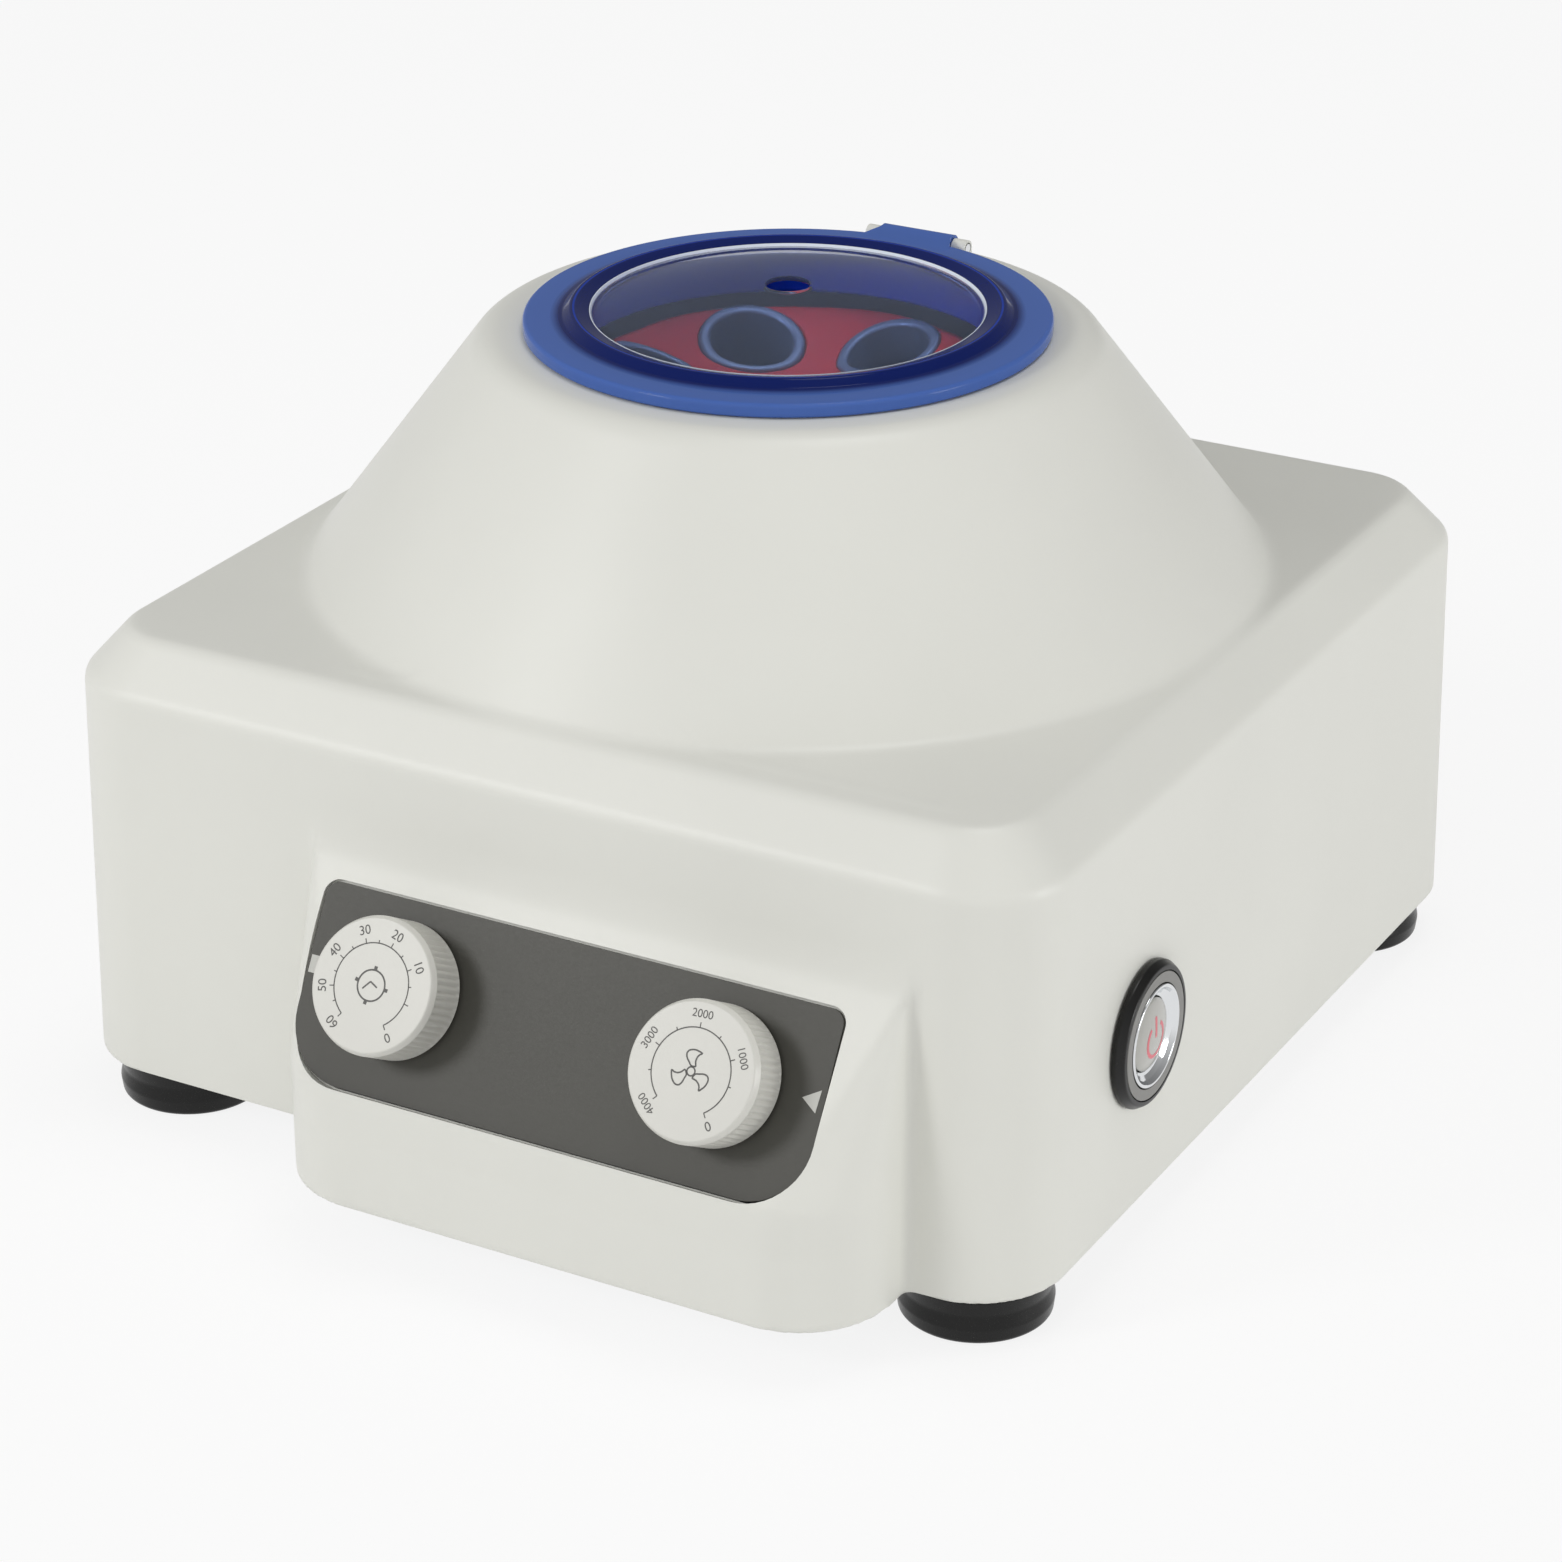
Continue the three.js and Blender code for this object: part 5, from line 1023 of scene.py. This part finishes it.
def clock_icon(bottom, top):
    ring = 3.8
    parts = [strip(arc(0, 0, ring, 0, 354, 60), 0.42, bottom, top, closed=True)]
    parts += [spoke(angle, ring + 0.2, ring + 1.0, 0.9, bottom, top) for angle in (88, -4, -97, 172)]
    for tip in ((1.7, -0.2), (-2.2, -1.2)):
        parts.append(strip([(-0.4, 0.9), tip], 0.4, bottom, top))
    return parts


def smooth_loop(corners, steps):
    """A closed curve through the corners, with as many steps between each two."""
    corners = np.array(corners)
    points = []
    for i in range(len(corners)):
        a, b, c, d = (corners[(i + k) % len(corners)] for k in (-1, 0, 1, 2))
        for t in np.arange(steps) / steps:
            square, cube = 2 * a - 5 * b + 4 * c - d, 3 * b - a - 3 * c + d
            points.append(0.5 * (2 * b + (c - a) * t + square * t * t + cube * t**3))
    return np.array(points)


def fan_icon(bottom, top):
    blade = [(-0.3, 1.3), (-1.0, 2.0), (-1.8, 2.9), (-2.1, 3.9), (-1.6, 4.7), (-0.4, 5.1), (0.8, 5.0)]
    blade += [(1.8, 4.67), (1.2, 4.2), (0.75, 3.5), (0.6, 2.6), (0.75, 1.9), (0.85, 1.35)]
    outline = smooth_loop(blade, 4)
    parts = [strip(arc(0, 0, 1.05, 0, 350, 36), 0.38, bottom, top, closed=True)]
    for angle in (0, 120, 240):
        c, s = math.cos(math.radians(angle)), math.sin(math.radians(angle))
        parts.append(strip(outline @ np.array([[c, s], [-s, c]]), 0.38, bottom, top, closed=True))
    return parts


def controls():
    """The control plate, the pointers beside the dials, and the two knobs with their print."""
    sheet = solid("control_plate", moved(prism(face_outline(-0.3), -0.5, 0.5), FACE))
    for name in KNOB_X:
        boolean(sheet, [solid("hole", moved(drum(BUSHING_HOLE, -3, 3), knob_place(name)))])
    dress(sheet, "grey_plate", "housing", ["faceplate"], bevel=0.18)
    marks = [
        prism([(-49.0, -31.3), (-46.2, -31.3), (-46.2, -26.9), (-49.0, -26.9)], *PLATE_PRINT),
        prism([(89.4, -29.7), (93.6, -32.6), (93.9, -27.0)], *PLATE_PRINT),
    ]
    dress(solid("dial_pointers", moved(together(*marks), FACE)), "pale_print", "housing")
    knob("timer")
    knob("speed")
    dial(
        "timer",
        [("60", 233), ("50", 192.5), ("40", 153.5), ("30", 113.3), ("20", 73.5), ("10", 31.5), ("0", -55)],
        (233, 192.5, 153.5, 113.3, 73.9, 32.3, -12.5, -55),
        (212.6, 173.7, 134.2, 93.9, 53.1, 10.5),
        clock_icon,
    )
    dial(
        "speed",
        [("4000", 227), ("3000", 157.6), ("2000", 92.3), ("1000", 26.2), ("0", -56)],
        (227, 157.6, 92.3, 26.8, -56),
        (191.2, 124.9, 60.4, -6.9),
        fan_icon,
    )


# ------------------------------------------------ power button

def button_part(name, profile, sides, steps, material, node, body="housing"):
    made = solid(name, moved(lathe(profile, sides, steps), SWITCH))
    dress(made, material, body, [node])


def crowned(shape):
    """The shape raised onto the crown of the button's cap."""
    points, faces = shape
    r = np.hypot(points[:, 0], points[:, 1]) / CAP_RADIUS
    rise = CAP_EDGE + CAP_CROWN * np.sqrt(np.maximum(1 - r * r, 0))
    return points + rise[:, None] * (0, 0, 1), faces


def power_button():
    """A panel button: the bezel, a trim and a metal ring round the cap, and the cap with its symbol."""
    top = BUTTON_TOP
    seat = top - 0.7
    bezel = [
        (BEZEL_HOLE, -24, 0.4),
        (14.6, -24, 0.4),
        (14.6, 0.3, 0),
        (18.8, 0.3, 0.3),
        (18.8, 1.7, 1.0),
        (17.7, top - 0.1, 0.8),
        (16.5, top, 0.15),
        (16.5, seat - 0.3, 0),
        (BEZEL_HOLE, seat - 0.3, 0),
    ]
    button_part("button_bezel", bezel, 128, 5, "black_plastic", "switch_bezel")
    trim = [(BEZEL_HOLE, seat, 0), (16.2, seat, 0), (16.2, top, 0.15), (BEZEL_HOLE, top, 0.15)]
    button_part("button_trim", trim, 128, 3, "grey_trim", "switch_trim")
    ring = [
        (9.6, top - 8, 0),
        (13.1, top - 8, 0),
        (13.1, top + 0.3, 0.35),
        (12.3, top + 0.3, 0.4),
        (11.6, top - 0.9, 0.8),
        (10.4, top - 1.7, 0.6),
        (9.6, top - 2.0, 0.2),
    ]
    button_part("button_ring", ring, 128, 5, "bright_steel", "switch_ring")
    crown = [
        (CAP_RADIUS * math.cos(a), CAP_EDGE + CAP_CROWN * math.sin(a), 0)
        for a in np.radians(np.linspace(8, 84, 12))
    ]
    push = [
        (0, top - 9.3, 0),
        (CAP_RADIUS, top - 9.3, 0.4),
        (CAP_RADIUS, CAP_EDGE, 0),
        *crown,
        (0, CAP_EDGE + CAP_CROWN, 0),
    ]
    button_part("push_button", push, 96, 3, "clear_button", "switch_button", "power_button")
    symbol = [
        strip(arc(0.8, -1.4, 4.4, 125, 415, 60), 1.0, *CAP_PRINT),
        strip([(0.8, y) for y in np.linspace(-0.8, 4.8, 12)], 1.0, *CAP_PRINT),
    ]
    made = solid("power_symbol", moved(crowned(together(*symbol)), SWITCH))
    dress(made, "red_print", "power_button")


# ------------------------------------------------ feet and inlet

def feet():
    """Ribbed rubber feet, each with a sunk seat for its screw."""
    profile = [
        (FOOT_SCREW_HOLE, 13.9, 0.2),
        (19.0, 13.9, 0.6),
        (19.4, 11.5, 1.0),
        (18.7, 7.5, 3.0),
        (19.4, 4.2, 2.4),
        (18.9, 0, 1.5),
        (6, 0, 0.5),
        (6, 6, 0.2),
        (FOOT_SCREW_HOLE, 6, 0),
    ]
    for (x, y), shape in zip(FOOT_PLACES, at_each(FOOT_PLACES, lathe(profile, 96, 5))):
        corner = f"{'front' if y < 0 else 'rear'}_{'left' if x < 0 else 'right'}"
        made = solid(f"rubber_foot_{corner}", shape)
        dress(made, "black_rubber", "housing", [f"foot_{corner}"])


def inlet():
    """The mains inlet in the rear wall, with its socket, screw holes and three blades."""
    made = solid("inlet_shell", moved(prism(rectangle(0, 0, 25, 12, 3.5, 8), 0.3, 3.3), INLET))
    block = prism(rectangle(0, 0, 14, 10.5, 1, 4), -22, 1.5)
    boolean(made, [solid("block", moved(block, INLET))], "UNION")
    socket = [(-12, -8.3, 1), (12, -8.3, 1), (12, 3.3, 1), (7, 8.3, 1), (-7, 8.3, 1), (-12, 3.3, 1)]
    cuts = [prism(rounded(socket, 4), -13.7, 6), *at_each(INLET_SCREWS, drum(INLET_SCREW_HOLE, -2, 6, 24))]
    boolean(made, [solid(f"inlet_cut_{i}", moved(shape, INLET)) for i, shape in enumerate(cuts)])
    dress(made, "black_plastic", "housing", ["mains_inlet"], bevel=0.4)
    blades = [prism(rectangle(x, y, 1, 2, 0.3, 3), -14, -1) for x, y in ((-7, -2), (0, 2), (7, -2))]
    made = solid("inlet_blades", moved(together(*blades), INLET))
    dress(made, "bright_steel", "housing", bevel=0.15)


# ------------------------------------------------ carried-over nodes

def carried_nodes():
    """The frame's own nodes get their materials, and those still shown get soft edges."""
    slots = {row["node"]: row["material_slot"] for row in frame["record"]["subparts"]}
    for name, node in frame["nodes"].items():
        node.data.materials.clear()
        node.data.materials.append(MATERIALS[slots[name]])
        if not node.hide_render:
            node.data.shade_smooth()
            bevelled(node, 0.25, 50).harden_normals = True


# ------------------------------------------------ floor, light and background

def lamp(name, place, target, size, power):
    """A round lamp aimed at a target, its size in metres and its power in watts."""
    data = bpy.data.lights.new(name, "AREA")
    data.shape = "DISK"
    data.size = size
    data.energy = power
    made = bpy.data.objects.new(name, data)
    bpy.context.scene.collection.objects.link(made)
    made.location = place
    made.rotation_euler = (Vector(target) - Vector(place)).to_track_quat("-Z", "Y").to_euler()


def seen_through(material, shaded, share):
    """To the camera, metal and glass the material is mostly an even pale glow over its shaded self."""
    nodes, links = material.node_tree.nodes, material.node_tree.links
    glow = nodes.new("ShaderNodeEmission")
    glow.inputs["Color"].default_value = PALE
    path = nodes.new("ShaderNodeLightPath")
    seen = path.outputs["Is Camera Ray"]
    for kind in ("Is Glossy Ray", "Is Transmission Ray"):
        seen = joined(nodes, links, "MAXIMUM", seen, path.outputs[kind])
    mix = nodes.new("ShaderNodeMixShader")
    links.new(mapped(nodes, links, seen, 0, share), mix.inputs["Fac"])
    links.new(shaded, mix.inputs[1])
    links.new(glow.outputs["Emission"], mix.inputs[2])
    links.new(mix.outputs["Shader"], nodes["Material Output"].inputs["Surface"])


def backdrop():
    """A world that dims from front to rear and towards straight above, and looks even to the camera."""
    world = bpy.data.worlds.new("studio")
    world.use_nodes = True
    bpy.context.scene.world = world
    nodes, links = world.node_tree.nodes, world.node_tree.links
    light = nodes["Background"]
    where = nodes.new("ShaderNodeTexCoord")
    split = nodes.new("ShaderNodeSeparateXYZ")
    links.new(where.outputs["Generated"], split.inputs["Vector"])
    ahead = mapped(nodes, links, split.outputs["Y"], 1.03, 0.24, -1, 1)
    overhead = mapped(nodes, links, split.outputs["Z"], 1.0, 0.6)
    links.new(joined(nodes, links, "MULTIPLY", ahead, overhead), light.inputs["Color"])
    plain = nodes.new("ShaderNodeBackground")
    plain.inputs["Color"].default_value = BACKDROP
    path = nodes.new("ShaderNodeLightPath")
    mix = nodes.new("ShaderNodeMixShader")
    links.new(path.outputs["Is Camera Ray"], mix.inputs["Fac"])
    links.new(light.outputs["Background"], mix.inputs[1])
    links.new(plain.outputs["Background"], mix.inputs[2])
    links.new(mix.outputs["Shader"], nodes["World Output"].inputs["Surface"])


def surroundings():
    """The floor, the backdrop and three lamps."""
    mesh = bpy.data.meshes.new("floor")
    half = 6
    corners = [(-half, -half, 0), (half, -half, 0), (half, half, 0), (-half, half, 0)]
    mesh.from_pydata(corners, [], [(0, 1, 2, 3)])
    floor = bpy.data.objects.new("floor", mesh)
    bpy.context.scene.collection.objects.link(floor)
    ground = bpy.data.materials.new("floor")
    ground.use_nodes = True
    shader = ground.node_tree.nodes["Principled BSDF"]
    shader.inputs["Base Color"].default_value = (0.95, 0.95, 0.95, 1)
    shader.inputs["Roughness"].default_value = 0.9
    shader.inputs["Specular IOR Level"].default_value = 0.1
    mesh.materials.append(ground)
    seen_through(ground, shader.outputs["BSDF"], 0.86)
    backdrop()
    lamp("key", (-1.1, -1.7, 1.3), (0, 0, 0.1), 0.6, 12.6)
    lamp("side", (2.15, 0.3, 0.32), (0, 0, 0.08), 0.7, 11.8)
    lamp("top", (0.3, 0.2, 2.2), (0, 0, 0.1), 0.8, 8.3)


camera()
housing()
lid_moulding()
lid_window()
rotor()
tube_sleeves()
rotor_nut()
controls()
power_button()
feet()
inlet()
carried_nodes()
surroundings()

scene = bpy.context.scene
scene.view_settings.view_transform = "Standard"
